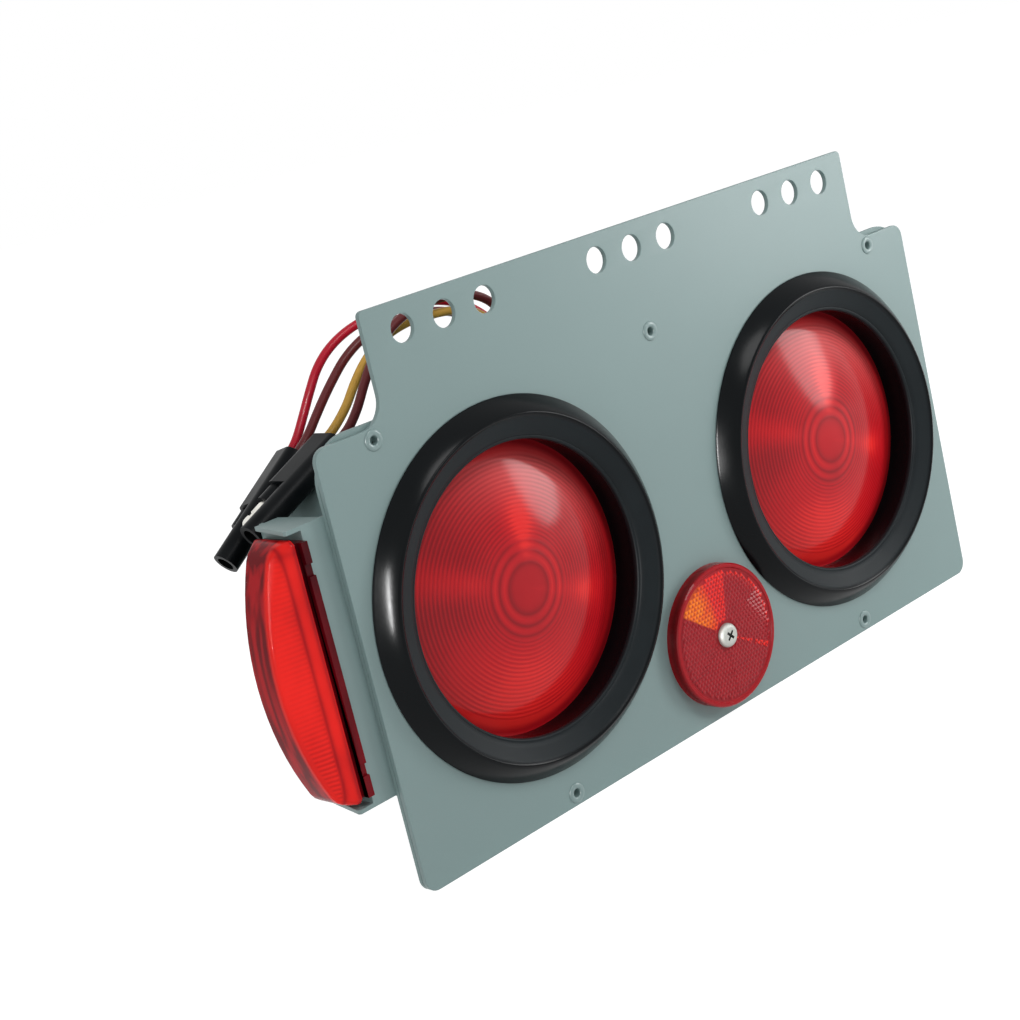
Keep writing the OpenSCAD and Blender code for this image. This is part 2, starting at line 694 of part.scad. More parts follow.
// Base plate with two notches in its front edge, and the raised land that the lens's rim seats on
module marker_base() {
    land_l = marker_lens_l - 2 * marker_wall + 0.5;
    land_w = marker_lens_w - 2 * marker_wall + 1.2;
    notch_z = marker_l / 2 - 9.25;
    notch_l = 4;
    notch_depth = 1.2;
    color("#7d1216") difference() {
        union() {
            translate([marker_face, marker_y - marker_w / 2, marker_z - marker_l / 2])
                cube([marker_base_t, marker_w, marker_l]);
            translate([lens_foot, marker_y - land_w / 2, marker_z - land_l / 2])
                cube([marker_land + cut, land_w, land_l]);
        }
        for (side = [-1, 1])
            translate([marker_face - cut, marker_y - marker_w / 2 - cut,
                       marker_z + side * notch_z - notch_l / 2])
                cube([marker_base_t + 2 * cut, notch_depth + cut, notch_l]);
        at_marker_screws() along_x(marker_y, 0, marker_screw_r + pin_gap, lens_foot - cut, web_out + cut);
        along_x(marker_y, marker_z, marker_wire_r, lens_foot - cut, web_out + cut);
    }
}

module marker_screws() {
    head_h = 1.8;
    point = web_out + bracket_t + 4.5;
    color(metal) at_marker_screws() {
        along_x(marker_y, 0, marker_screw_r, lens_foot - cut, point);
        along_x(marker_y, 0, marker_screw_head_r, lens_foot - head_h, lens_foot);
    }
}

// Outline of the marker's lens seen from the front: height above its foot, and place along the
// marker. Its crown is a long arc, and a smaller one rounds each end.
function crown_points(inset) =
    let (half = marker_lens_l / 2, end_r = 8, mid = marker_lens_h - crown_r)
    let (end_x = mid + sqrt(pow(crown_r - end_r, 2) - pow(half - end_r, 2)))
    let (turn = atan2(half - end_r, end_x - mid))
    concat(
        [[0, -half + inset]],
        arc(end_x, -half + end_r, end_r - inset, -90, -turn, 4),
        arc(mid, 0, crown_r - inset, -turn, turn, 16),
        arc(end_x, half - end_r, end_r - inset, turn, 90, 4),
        [[0, half - inset]]
    );

// Pillow shape of the marker's lens, pared by inset on every side
module marker_shape(inset) {
    foot_w = marker_lens_w - 2 * inset;
    crown_w = marker_crown_w - 2 * inset;
    hull() {
        for (layer = [[crown_w, inset], [crown_w + 1.6, inset + 1]])
            translate([0, layer[0] / 2, 0]) rotate([90, 0, 0])
                linear_extrude(layer[0]) polygon([for (p = crown_points(layer[1])) [max(p[0], 0), p[1]]]);
        translate([0, -foot_w / 2, -marker_lens_l / 2 + inset + 1.5])
            cube([1.5, foot_w, marker_lens_l - 2 * inset - 3]);
        translate([0, -foot_w / 2 + 1.5, -marker_lens_l / 2 + inset])
            cube([1.5, foot_w - 3, marker_lens_l - 2 * inset]);
    }
}

module marker_lens() {
    color(red_lens) translate([lens_foot, marker_y, marker_z]) mirror([1, 0, 0]) difference() {
        marker_shape(0);
        translate([-cut, 0, 0]) marker_shape(marker_wall);
    }
}

glass_l = 26;
glass_r = 4;
filament_x = lens_foot - 7;
cap_tip_r = 1.9;
clip_z = 17;
clip_w = 6;
clip_t = 0.8;

module marker_bulb() {
    color("#e6ecef") translate([filament_x, marker_y, marker_z - glass_l / 2])
        cylinder(r = glass_r, h = glass_l);
}

module marker_bulb_caps() {
    cap_l = clip_z - glass_l / 2;
    color(metal) for (end = [0, 1])
        translate([filament_x, marker_y, marker_z]) mirror([0, 0, end]) translate([0, 0, glass_l / 2]) {
            cylinder(r = glass_r - 0.6, h = cap_l);
            cylinder(r = cap_tip_r, h = cap_l + 1.6);
        }
}

module marker_clips() {
    beyond = 3.6;
    color(brass) for (end = [0, 1])
        translate([0, marker_y, marker_z]) mirror([0, 0, end]) difference() {
            translate([filament_x - beyond, -clip_w / 2, clip_z])
                cube([lens_foot - filament_x + beyond, clip_w, clip_t]);
            translate([filament_x, 0, clip_z - cut]) cylinder(r = cap_tip_r + pin_gap, h = clip_t + 2 * cut);
        }
}

// Rubber bush through a drawn wall: its flanges lie inside and outside, and its middle is solid
module wall_bush(neck_r, flange_r, height) {
    rotate_extrude() polygon([
        [0, -cover_t - 2.5], [flange_r - 1.4, -cover_t - 2.5], [flange_r - 0.6, -cover_t],
        [neck_r, -cover_t], [neck_r, 0], [flange_r, 0], [flange_r, 1.6],
        [flange_r - 1.5, 2.6], [neck_r - 0.3, height - 0.6], [neck_r - 0.9, height], [0, height]
    ]);
}

module lead_bush() {
    color(rubber) on_top_wall(bush_x, bush_y) wall_bush(bush_neck_r, bush_d / 2, bush_h);
}

module marker_gland() {
    color(rubber) on_left_wall(gland_y, marker_z) wall_bush(gland_neck_r, gland_neck_r + 2.5, 4);
}

// Frame of each plug: its wire end, and its axis turned down and aside
module at_plug_a() {
    translate([-129.2, 52.5, -37.4]) rotate([0, -34, 0]) mirror([1, 0, 0]) rotate([-15, 0, 0]) children();
}

module at_plug_b() {
    translate([-124.7, 35, -34.1]) rotate([0, -24, 0]) mirror([1, 0, 0]) children();
}

// Moulded plug along +X from its wire end: a block for two leads, a socket barrel on one side
// and the neck of the bare pin on the other
module plug_body() {
    side = plug_pitch / 2;
    pin_hole = bullet_d / 2 + pin_gap;
    sleeve_hole = bullet_d / 2 + 0.6 + pin_gap;
    color(rubber) difference() {
        union() {
            rotate([90, 0, 90]) linear_extrude(plug_block_l) stadium(plug_pitch + barrel_d, barrel_d);
            along_x(-side, 0, barrel_d / 2, plug_block_l - 1, plug_block_l + barrel_l);
            along_x(side, 0, barrel_d / 2 - 1, plug_block_l - 1, plug_block_l + neck_l);
        }
        along_x(-side, 0, sleeve_hole, plug_block_l - 2, plug_block_l + barrel_l + cut);
        along_x(side, 0, pin_hole, plug_block_l - 2, plug_block_l + neck_l + cut);
    }
}

module bullet_pin() {
    r = bullet_d / 2;
    tip = neck_l + bullet_l;
    color(metal) translate([plug_block_l, plug_pitch / 2, 0]) rotate([0, 90, 0]) rotate_extrude()
        polygon(concat(
            [[0, -2], [r, -2], [r, tip - 6], [r - 0.5, tip - 5.5], [r - 0.5, tip - 4.3], [r, tip - 3.8]],
            arc(0, tip - r, r, 0, 90, 5)
        ));
}

module plug_sleeve() {
    r = bullet_d / 2;
    color(brass) difference() {
        along_x(-plug_pitch / 2, 0, r + 0.6, plug_block_l - 2, plug_block_l + barrel_l - 4);
        along_x(-plug_pitch / 2, 0, r + 0.1, plug_block_l, plug_block_l + barrel_l);
    }
}

// Round cord swept along its route, with one ring of eight corners at each point
module cord(route) {
    sides = 8;
    last = len(route) - 1;
    rings = [for (i = [0:last])
        let (ahead = route[min(i + 1, last)] - route[max(i - 1, 0)])
        let (tangent = ahead / norm(ahead))
        let (across = cross(tangent, [0, 1, 0]))
        let (u = across / norm(across), v = cross(tangent, u))
        for (k = [0:sides - 1])
            let (a = 360 * k / sides) route[i] + lead_d / 2 * (cos(a) * u + sin(a) * v)
    ];
    polyhedron(rings, concat(
        [[for (k = [0:sides - 1]) k]],
        [for (i = [0:last - 1], k = [0:sides - 1])
            let (a = i * sides + k, b = i * sides + (k + 1) % sides) [b, a, a + sides, b + sides]],
        [[for (k = [sides - 1:-1:0]) last * sides + k]]
    ), convexity = 6);
}

module wire_red() { color("#c8232c") cord(red_route); }
module wire_brown_a() { color("#5b2a26") cord(brown_a_route); }
module wire_yellow() { color("#d9a441") cord(yellow_route); }
module wire_brown_b() { color("#5b2a26") cord(brown_b_route); }

mounting_panel();
rear_cover();
cover_rivets();
lamp_grommet(-1);  // grommet_left
lamp_grommet(1);  // grommet_right
lamp_lens(-1);  // lens_left
lamp_lens(1);  // lens_right
lamp_body(-1);  // lamp_body_left
lamp_body(1);  // lamp_body_right
bulb(-1);  // bulb_left
bulb(1);  // bulb_right
bulb_base(-1);  // bulb_base_left
bulb_base(1);  // bulb_base_right
contact_pins(-1);  // contact_pins_left
contact_pins(1);  // contact_pins_right
reflex_reflector();
reflector_back();
reflector_screw();
reflector_nut();
reflector_washer();
marker_bracket();
bracket_rivets();
marker_base();
marker_screws();
marker_lens();
marker_bulb();
marker_bulb_caps();
marker_clips();
marker_gland();
lead_bush();
wire_red();
wire_brown_a();
wire_yellow();
wire_brown_b();
at_plug_a() plug_body();  // plug_body_a
at_plug_b() plug_body();  // plug_body_b
at_plug_a() bullet_pin();  // bullet_pin_a
at_plug_b() bullet_pin();  // bullet_pin_b
at_plug_a() plug_sleeve();  // plug_sleeve_a
at_plug_b() plug_sleeve();  // plug_sleeve_b
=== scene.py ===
"""Rear lamp module: camera, studio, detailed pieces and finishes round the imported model."""

from __future__ import annotations

import logging
import math
from dataclasses import dataclass
from enum import Enum
from functools import partial
from typing import Callable, Iterable, Sequence

import bmesh  # noqa: E402
import bpy  # noqa: E402
from bpy.types import Curve, Material, Mesh, Node, NodeSocket, NodeTree, Object  # noqa: E402
from mathutils import Matrix, Vector  # noqa: E402


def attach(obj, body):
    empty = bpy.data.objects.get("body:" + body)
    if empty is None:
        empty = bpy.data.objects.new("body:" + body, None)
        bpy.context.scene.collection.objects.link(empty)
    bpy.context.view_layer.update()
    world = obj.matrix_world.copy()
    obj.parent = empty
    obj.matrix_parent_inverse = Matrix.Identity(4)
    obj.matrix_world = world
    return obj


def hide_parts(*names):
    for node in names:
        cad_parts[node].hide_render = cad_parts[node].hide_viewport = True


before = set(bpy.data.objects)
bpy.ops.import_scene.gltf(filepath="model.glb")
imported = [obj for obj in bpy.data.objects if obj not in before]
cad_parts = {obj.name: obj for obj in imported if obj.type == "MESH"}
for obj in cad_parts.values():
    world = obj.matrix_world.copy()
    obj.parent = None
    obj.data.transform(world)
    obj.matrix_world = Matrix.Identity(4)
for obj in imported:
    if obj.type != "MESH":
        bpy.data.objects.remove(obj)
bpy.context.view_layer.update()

LOG = logging.getLogger("lamp_module")
MM = 0.001
ROOT = "root"
SHARP = 32.0  # degrees by which a smooth mesh may turn

Point2 = tuple[float, float]
Point3 = tuple[float, float, float]
Colour = tuple[float, float, float]

# Middles of the round lamps, the reflector and the marker, in millimetres
LAMP_X, LAMP_Z = 85.15, -98.8
REFLEX_Z = -149.0
MARKER_Z = -96.5


# Shader maths


def feed(tree: NodeTree, socket: NodeSocket, value: object) -> None:
    """Gives an input its value or its link.

    Args:
        tree: The input's tree.
        socket: The input.
        value: A value, field or socket.
    """
    if isinstance(value, Field):
        value = value.socket
    if isinstance(value, NodeSocket):
        tree.links.new(value, socket)
    else:
        socket.default_value = value


def add_node(
    tree: NodeTree, kind: str, inputs: dict[int | str, object] | None = None, **settings: object
) -> Node:
    """Adds a node to a tree.

    Args:
        tree: The tree.
        kind: The node's type.
        inputs: Values, fields or sockets for its inputs, by name or place.
        settings: Its attributes, which are set first.

    Returns:
        The node.
    """
    node = tree.nodes.new(kind)
    for key, value in settings.items():
        setattr(node, key, value)
    for key, value in (inputs or {}).items():
        feed(tree, node.inputs[key], value)
    return node


def operator(operation: str, swap: bool = False) -> Callable[..., Field]:
    """Makes a method of Field that adds one Math node.

    Args:
        operation: The node's operation.
        swap: True where the field is the second operand.

    Returns:
        The method, which takes the other operands.
    """

    def method(self: Field, *others: Field | float) -> Field:
        """Adds the node.

        Args:
            others: The other operands.

        Returns:
            Its result.
        """
        operands = [self, *others]
        if swap:
            operands.reverse()
        node = self.shader.node("ShaderNodeMath", dict(enumerate(operands)), operation=operation)
        return Field(self.shader, node.outputs[0])

    return method


@dataclass
class Field:
    """A number socket of a shader that takes part in arithmetic."""

    shader: Shader
    socket: NodeSocket

    __add__ = __radd__ = operator("ADD")
    __sub__ = operator("SUBTRACT")
    __rsub__ = operator("SUBTRACT", swap=True)
    __mul__ = __rmul__ = operator("MULTIPLY")
    __truediv__ = operator("DIVIDE")
    __rtruediv__ = operator("DIVIDE", swap=True)
    __pow__ = operator("POWER")
    cos = operator("COSINE")
    root = operator("SQRT")
    size = operator("ABSOLUTE")
    turn = operator("ARCTAN2")  # angle of a point at this height and the other's distance across
    least = operator("MINIMUM")
    most = operator("MAXIMUM")

    def ease(self, low: float, high: float) -> Field:
        """Rises smoothly from 0 at low to 1 at high.

        Args:
            low: Where the rise starts.
            high: Where it ends.

        Returns:
            A number from 0 to 1.
        """
        ends = (self, min(low, high), max(low, high), float(low > high), float(low <= high))
        node = self.shader.node(
            "ShaderNodeMapRange", dict(enumerate(ends)), interpolation_type="SMOOTHSTEP"
        )
        return Field(self.shader, node.outputs[0])

    def bell(self, middle: float, width: float) -> Field:
        """Returns a hump of height 1 at middle, about width wide."""
        off = (self - middle) / width
        return 1.0 / (1.0 + off * off * 4.0)

    def towards(self, degrees: float) -> Field:
        """Returns the cosine of the turn from this angle to a direction."""
        return (self - math.radians(degrees)).cos()

    def wedge(self, degrees: float, power: float) -> Field:
        """Returns a wedge of height 1 in a direction, which a higher power makes narrower."""
        return self.towards(degrees).most(0.0) ** power


def reach(x: Field, z: Field, centre: Point2) -> Field:
    """Returns the distance of a point from a middle."""
    dx, dz = x - centre[0], z - centre[1]
    return (dx * dx + dz * dz).root()


class Shader:
    """One material under construction: a surface shader and the nodes that feed it."""

    def __init__(self, name: str) -> None:
        """Starts a material.

        Args:
            name: The material's name.
        """
        self.material = bpy.data.materials.new(name)
        self.material.use_nodes = True
        self.tree = self.material.node_tree
        self.tree.nodes.clear()
        self.node = partial(add_node, self.tree)
        self.surface = self.node("ShaderNodeBsdfPrincipled")
        self.node("ShaderNodeOutputMaterial", {"Surface": self.surface.outputs[0]})

    def set(self, **values: object) -> None:
        """Sets the surface's sockets.

        Args:
            values: Value, field or socket for each socket, its name in lower case with underscores.
        """
        names = {s.name.lower().replace(" ", "_"): s for s in self.surface.inputs}
        for key, value in values.items():
            feed(self.tree, names[key], value)

    def place(self) -> tuple[Field, Field, Field]:
        """Reads the point's place in the part's frame.

        Returns:
            Its X, Y and Z in millimetres.
        """
        coords = self.node("ShaderNodeTexCoord")
        split = self.node("ShaderNodeSeparateXYZ", {0: coords.outputs["Object"]})
        return tuple(Field(self, s) * 1000.0 for s in split.outputs)  # type: ignore[return-value]

    def noise(self, grain: float, detail: float = 3.0, stretch: Point3 = (1, 1, 1)) -> Field:
        """Adds a noise in the part's frame.

        Args:
            grain: The size of its spots, in millimetres.
            detail: How many finer layers it has.
            stretch: Its scale along each axis.

        Returns:
            A number about 0.5.
        """
        coords = self.node("ShaderNodeTexCoord").outputs["Object"]
        spots = self.node("ShaderNodeMapping", {"Vector": coords, "Scale": stretch}).outputs[0]
        inputs = {"Vector": spots, "Scale": 1000.0 / grain, "Detail": detail}
        return Field(self, self.node("ShaderNodeTexNoise", inputs).outputs[0])

    def blend(self, factor: Field | float, first: object, second: object) -> NodeSocket:
        """Mixes two colours.

        Args:
            factor: The share of the second.
            first: Colour or socket.
            second: Colour or socket.

        Returns:
            The mixed colour's socket.
        """
        pair = (v if isinstance(v, NodeSocket) else (*v, 1.0) for v in (first, second))
        inputs = {0: factor, **dict(zip((6, 7), pair))}
        return self.node("ShaderNodeMix", inputs, data_type="RGBA").outputs[2]

    def relief(self, height: Field, depth: float) -> NodeSocket:
        """Turns a height into a bump.

        Args:
            height: The height, from 0 to 1.
            depth: Its size in millimetres.

        Returns:
            The normal's socket.
        """
        inputs = {"Height": height, "Distance": depth * MM, "Strength": 1.0}
        return self.node("ShaderNodeBump", inputs).outputs[0]


# Finishes


def tint(colour: Colour, share: float) -> Colour:
    """Returns a colour made darker or paler."""
    return tuple(min(1.0, c * share) for c in colour)  # type: ignore[return-value]


@dataclass(frozen=True)
class Finish:
    """A finish of the part, from which one material is made."""

    name: str

    def build(self) -> Material:
        """Makes the material.

        Returns:
            The material.
        """
        shader = Shader(self.name)
        self.paint(shader)
        return shader.material

    def paint(self, s: Shader) -> None:
        """Sets the surface.

        Args:
            s: The material's shader.
        """
        raise NotImplementedError


@dataclass(frozen=True)
class Enamel(Finish):
    """Sprayed satin enamel on sheet steel: faint orange peel, soft cloudiness, dull specks."""

    colour: Colour = (0.206, 0.290, 0.284)
    roughness: float = 0.42
    coat: float = 0.12
    peel: float = 0.006

    def paint(self, s: Shader) -> None:
        """Sets the surface.

        Args:
            s: The material's shader.
        """
        cloud = s.noise(60.0, 2.0)
        grain = s.noise(0.9, 4.0)
        s.set(
            base_color=s.blend(
                cloud * 0.7 + grain * 0.3, tint(self.colour, 0.94), tint(self.colour, 1.07)
            ),
            roughness=self.roughness + (grain - 0.5) * 0.10 + (cloud - 0.5) * 0.06,
            specular_ior_level=0.35,
            coat_weight=self.coat,
            coat_roughness=0.22,
            normal=s.relief(s.noise(1.6, 2.0), self.peel),
        )


@dataclass(frozen=True)
class Rubber(Finish):
    """Moulded black rubber, satin, with fine pitting and a greyer bloom."""

    colour: Colour = (0.003, 0.004, 0.005)
    bloom: Colour = (0.008, 0.009, 0.010)
    roughness: float = 0.36
    pitting: float = 0.01

    def paint(self, s: Shader) -> None:
        """Sets the surface.

        Args:
            s: The material's shader.
        """
        haze = s.noise(14.0, 3.0)
        pits = s.noise(0.7, 3.0)
        s.set(
            base_color=s.blend(haze.ease(0.35, 0.75), self.colour, self.bloom),
            roughness=self.roughness + (haze - 0.5) * 0.25 + (pits - 0.5) * 0.12,
            normal=s.relief(pits, self.pitting),
            specular_ior_level=0.07,
        )


@dataclass(frozen=True)
class RingedLens(Finish):
    """Clear red acrylic over fine optic rings: the coat is the smooth outer face.

    Its base colour holds painted light: bright wedges and curved streaks are painted highlights,
    a pale patch up and to the right is a painted highlight, a darker wedge is painted shade, and
    the darker outer ring is a painted reflection of the black rubber wall. Each wedge of painted
    light or shade has its direction in degrees and its power.
    """

    centre: Point2
    # bright, middle and deep are the red from painted light to painted shade, across the ring
    # pattern too; pale is the pink of a painted highlight.
    bright: Colour = (0.80, 0.022, 0.020)
    middle: Colour = (0.52, 0.008, 0.014)
    deep: Colour = (0.27, 0.005, 0.010)
    pale: Colour = (0.74, 0.21, 0.20)
    pitch: float = 1.5
    fine_from: float = 18.0
    fine_to: float = 46.0
    broad: tuple[float, ...] = (8.9, 13.0, 16.5)
    # Directions and powers of painted light: the first four are painted highlights, flank is
    # painted shade, and the last is a pale painted highlight.
    upward: Point2 = (78.0, 30.0)
    outward: Point2 = (-21.0, 60.0)
    downward: Point2 = (-104.0, 3.0)
    inward: Point2 = (158.0, 60.0)
    flank: Point2 = (160.0, 7.0)
    painted_sheen: Point2 = (60.0, 3.0)

    def paint(self, s: Shader) -> None:
        """Sets the surface.

        Args:
            s: The material's shader.
        """
        x, _, z = s.place()
        radius = reach(x, z, self.centre)
        angle = (z - self.centre[1]).turn(x - self.centre[0])
        zone = radius.ease(self.fine_from - 1, self.fine_from + 1) * radius.ease(
            self.fine_to + 0.8, self.fine_to - 0.8
        )
        wave = (radius * (2 * math.pi / self.pitch)).cos() * 0.5 + 0.5
        broad = radius.bell(self.broad[0], 1.6)
        for ring_radius in self.broad[1:]:
            broad = broad + radius.bell(ring_radius, 1.4)
        # Painted highlights: bright wedges upward, outward, downward and inward, and bright curved
        # streaks on two rings near the hub.
        upward = angle.wedge(*self.upward) * radius.bell(23.0, 22.0) * radius.ease(7.6, 13.0)
        outward = angle.wedge(*self.outward) * radius.bell(29.0, 14.0)
        downward = angle.wedge(*self.downward) * radius.ease(12.0, 34.0)
        inward = angle.wedge(*self.inward) * radius.ease(12.0, 26.0)
        flank = angle.wedge(*self.flank) * radius.ease(14.0, 30.0)
        painted_arcs = (radius.bell(14.9, 1.1) + radius.bell(11.0, 1.2)) * angle.cos().size()
        painted_glow = upward * 1.25 + outward + downward * 0.86 + inward * 0.62 + painted_arcs * 0.46
        # The broad rings, the fine rings and a darker centre are the lens's ring pattern; the
        # darker outer ring is a painted reflection of the black rubber wall, and the flank wedge is
        # painted shade.
        painted_shade_and_rings = radius.ease(47.0, 51.0) * 0.5 + broad * 0.34 + (1.0 - wave) * zone * 0.28
        painted_shade_and_rings = painted_shade_and_rings + flank * 0.22 + radius.ease(9.0, 7.6) * 0.10
        shade = 0.44 + painted_glow * 0.62 - painted_shade_and_rings + (s.noise(22.0, 2.0) - 0.5) * 0.28
        lower = s.blend(shade.ease(0.0, 0.5), self.deep, self.middle)
        # Painted highlight: a pale patch up and to the right, stronger on the fine rings.
        painted_sheen = angle.wedge(*self.painted_sheen) * radius.ease(22.0, 42.0)
        painted_sheen = painted_sheen * radius.ease(51.0, 44.0) * (0.75 + wave * 0.25)
        red = s.blend(shade.ease(0.45, 1.0), lower, self.bright)
        s.set(
            base_color=s.blend(painted_sheen * 0.36, red, self.pale),
            roughness=0.34 + zone * 0.06,
            specular_ior_level=0.02,
            normal=s.relief(wave * zone * 0.35 + broad * 0.8, 0.22),
            coat_weight=0.34,
            coat_roughness=0.14,
            coat_ior=1.49,
        )


@dataclass(frozen=True)
class MoldedRing(Finish):
    """Rubber of a round lamp: near black on its outer band, greyer on the sloping face within."""

    band: Colour = (0.0018, 0.0030, 0.0038)
    face: Colour = (0.0100, 0.0140, 0.0160)

    def paint(self, s: Shader) -> None:
        """Sets the surface.

        Args:
            s: The material's shader.
        """
        x, y, z = s.place()
        sloping_face = reach(x.size(), z, (LAMP_X, LAMP_Z)).ease(59.6, 58.6) * y.ease(-0.6, -2.4)
        haze = s.noise(16.0, 3.0)
        pits = s.noise(0.8, 3.0)
        s.set(
            base_color=s.blend(sloping_face * (haze * 0.7 + 0.6).least(1.0), self.band, self.face),
            roughness=0.19 + sloping_face * 0.24 + (haze - 0.5) * 0.10 + (pits - 0.5) * 0.06,
            normal=s.relief(pits, 0.006),
            specular_ior_level=0.10,
        )


@dataclass(frozen=True)
class ReflexRed(Finish):
    """Clear red over prism fields, of which one throws the light back, drawn as painted light."""

    face_y: float = -4.8
    dim: Colour = (0.26, 0.006, 0.012)
    rose: Colour = (0.42, 0.014, 0.022)
    # ember is the bright red of the prism tips and of the painted highlights; the orange after it
    # is the painted light of the lit field.
    ember: Colour = (0.92, 0.022, 0.014)
    painted_glow: Colour = (1.0, 0.26, 0.010)
    rim: Colour = (0.36, 0.006, 0.012)
    wall: Colour = (0.17, 0.002, 0.004)
    lit_way: float = 111.0
    warm_way: float = 143.0
    seam_way: float = -29.0
    edge_way: float = 40.0

    def paint(self, s: Shader) -> None:
        """Sets the surface.

        Args:
            s: The material's shader.
        """
        x, y, z = s.place()
        radius = reach(x, z, (0.0, REFLEX_Z))
        angle = (z - REFLEX_Z).turn(x)
        tip = y.ease(self.face_y - 0.04, self.face_y - 0.30)
        # Painted light: the field that throws the light back is lit orange, with an orange patch
        # beside it broken up by grain.
        lit = angle.towards(self.lit_way).ease(0.825, 0.855) * radius.ease(5.6, 6.2)
        grain = s.noise(5.0, 1.0)
        painted_warm_light = angle.towards(self.warm_way).ease(0.76, 1.0) * (0.30 + tip * 0.70)
        painted_warm_light = painted_warm_light * radius.ease(3.0, 17.0) * (grain * 1.8).least(1.0)
        # Painted highlights: a bright line along one field join and a bright stretch of the rim.
        seam = angle.towards(self.seam_way).ease(0.9985, 0.9996) * tip
        edge = radius.bell(23.6, 1.3) * angle.towards(self.edge_way).ease(0.55, 0.8) * tip
        field = s.blend(0.2 + tip * 0.5 + (grain - 0.5) * 0.6, self.dim, self.rose)
        painted_lit_field = s.blend(painted_warm_light, s.blend(tip, self.rose, self.ember), self.painted_glow)
        field = s.blend(lit, field, painted_lit_field)
        field = s.blend(seam.most(edge), field, self.ember)
        side = radius.ease(26.7, 27.0) * y.bell(-2.8, 3.2)
        edge_red = s.blend(side, self.rim, self.wall)
        s.set(
            base_color=s.blend(radius.ease(24.6, 25.0), field, edge_red),
            roughness=0.22 + grain * 0.12,
            specular_ior_level=0.03,
            coat_weight=0.26,
            coat_roughness=0.03,
        )


@dataclass(frozen=True)
class MarkerRed(Finish):
    """Clear red side lens: ribbed front face, darker band inside its edge, crown in painted shade.
    """

    arc_centre: Point2 = (-86.5, MARKER_Z)
    arc_radius: float = 100.0
    front_y: float = 8.2
    foot_x: float = -169.8
    rib_pitch: float = 1.6
    top_z: float = -55.6
    # bright and deep colour the front face; crown and crown_deep are a darker copy of the same red,
    # painted shade for the crown.
    bright: Colour = (1.0, 0.020, 0.014)
    deep: Colour = (0.36, 0.004, 0.008)
    crown: Colour = (0.58, 0.008, 0.014)
    crown_deep: Colour = (0.18, 0.002, 0.006)

    def paint(self, s: Shader) -> None:
        """Sets the surface.

        Args:
            s: The material's shader.
        """
        x, y, z = s.place()
        inset = self.arc_radius - reach(x, z, self.arc_centre)
        front = y.ease(self.front_y + 1.4, self.front_y - 0.6)
        ribs = (z * (2 * math.pi / self.rib_pitch)).cos() * 0.5 + 0.5
        across = self.foot_x - x
        band = (across.bell(5.2, 1.3) + across.bell(0.9, 1.4)) * front
        flow = s.noise(11.0, 2.0, (1.0, 1.0, 0.5))
        lamp = s.noise(26.0, 1.0)
        # Painted reflection: a darker stripe across the top end, faint on the front and strong on
        # the crown, reflects the bracket tab.
        top = z.bell(self.top_z, 2.6)
        streak = s.noise(3.2, 1.0, (1.0, 1.0, 0.06))
        rib_zone = front * inset.ease(0.8, 1.6) * across.ease(5.6, 6.4)
        rib_zone = rib_zone * (0.35 + z.ease(-105.0, -128.0) * 0.65)
        shade = 0.80 + (flow - 0.5) * 0.55 + (lamp - 0.5) * 0.5 - band * 0.5 - top * 0.2
        shade = shade + (ribs - 0.5) * rib_zone * 0.3
        face = s.blend(shade.ease(0.0, 1.0), self.deep, self.bright)
        # Painted shade: the crown takes the darker copy of the red, with vertical streaks and the
        # top stripe.
        crown = streak.ease(0.34, 0.66) * 0.8 + (flow - 0.5) * 0.4 - top * 0.9
        side = s.blend(crown, self.crown_deep, self.crown)
        s.set(
            base_color=s.blend(front, side, face),
            roughness=0.20 + flow * 0.08,
            normal=s.relief(ribs * rib_zone + flow * 0.2, 0.12),
            specular_ior_level=0.02,
            coat_weight=0.18,
            coat_roughness=0.03,
        )


@dataclass(frozen=True)
class ClearPlastic(Finish):
    """Glossy coloured plastic with slight flow marks, lighter or darker along them."""

    bright: Colour
    deep: Colour
    coat: float = 1.0

    def paint(self, s: Shader) -> None:
        """Sets the surface.

        Args:
            s: The material's shader.
        """
        flow = s.noise(9.0, 2.0, (1.0, 1.0, 0.4))
        s.set(
            base_color=s.blend(flow.ease(0.30, 0.70), self.deep, self.bright),
            roughness=0.22 + (flow - 0.5) * 0.08,
            normal=s.relief(s.noise(4.0, 2.0), 0.01),
            specular_ior_level=0.04,
            coat_weight=self.coat,
            coat_roughness=0.04,
        )


@dataclass(frozen=True)
class Metal(Finish):
    """Bare or plated metal with fine turning marks and dull spots."""

    colour: Colour
    roughness: float
    dull: float = 0.25

    def paint(self, s: Shader) -> None:
        """Sets the surface.

        Args:
            s: The material's shader.
        """
        spots = s.noise(2.2, 4.0)
        fine = s.noise(0.35, 2.0)
        s.set(
            base_color=s.blend(spots.ease(0.45, 0.75), self.colour, tint(self.colour, 0.72)),
            metallic=1.0,
            roughness=self.roughness + spots.ease(0.4, 0.8) * self.dull + (fine - 0.5) * 0.1,
            normal=s.relief(fine, 0.004),
        )


@dataclass(frozen=True)
class ScrewHead(Finish):
    """Dull plated pan head whose cross recess is painted near black as painted shade."""

    colour: Colour = (0.40, 0.41, 0.385)
    painted_recess_shade: Colour = (0.035, 0.037, 0.034)

    def paint(self, s: Shader) -> None:
        """Sets the surface.

        Args:
            s: The material's shader.
        """
        x, y, z = s.place()
        # Painted shade: the cross recess is darkened and made non-metal.
        recess = reach(x, z, (0.0, REFLEX_Z)).ease(2.4, 2.1) * y.ease(-7.05, -6.75)
        grain = s.noise(1.2, 3.0)
        s.set(
            base_color=s.blend(recess, self.colour, self.painted_recess_shade),
            metallic=1.0 - recess,
            roughness=0.60 + (grain - 0.5) * 0.16,
            normal=s.relief(grain, 0.01),
        )


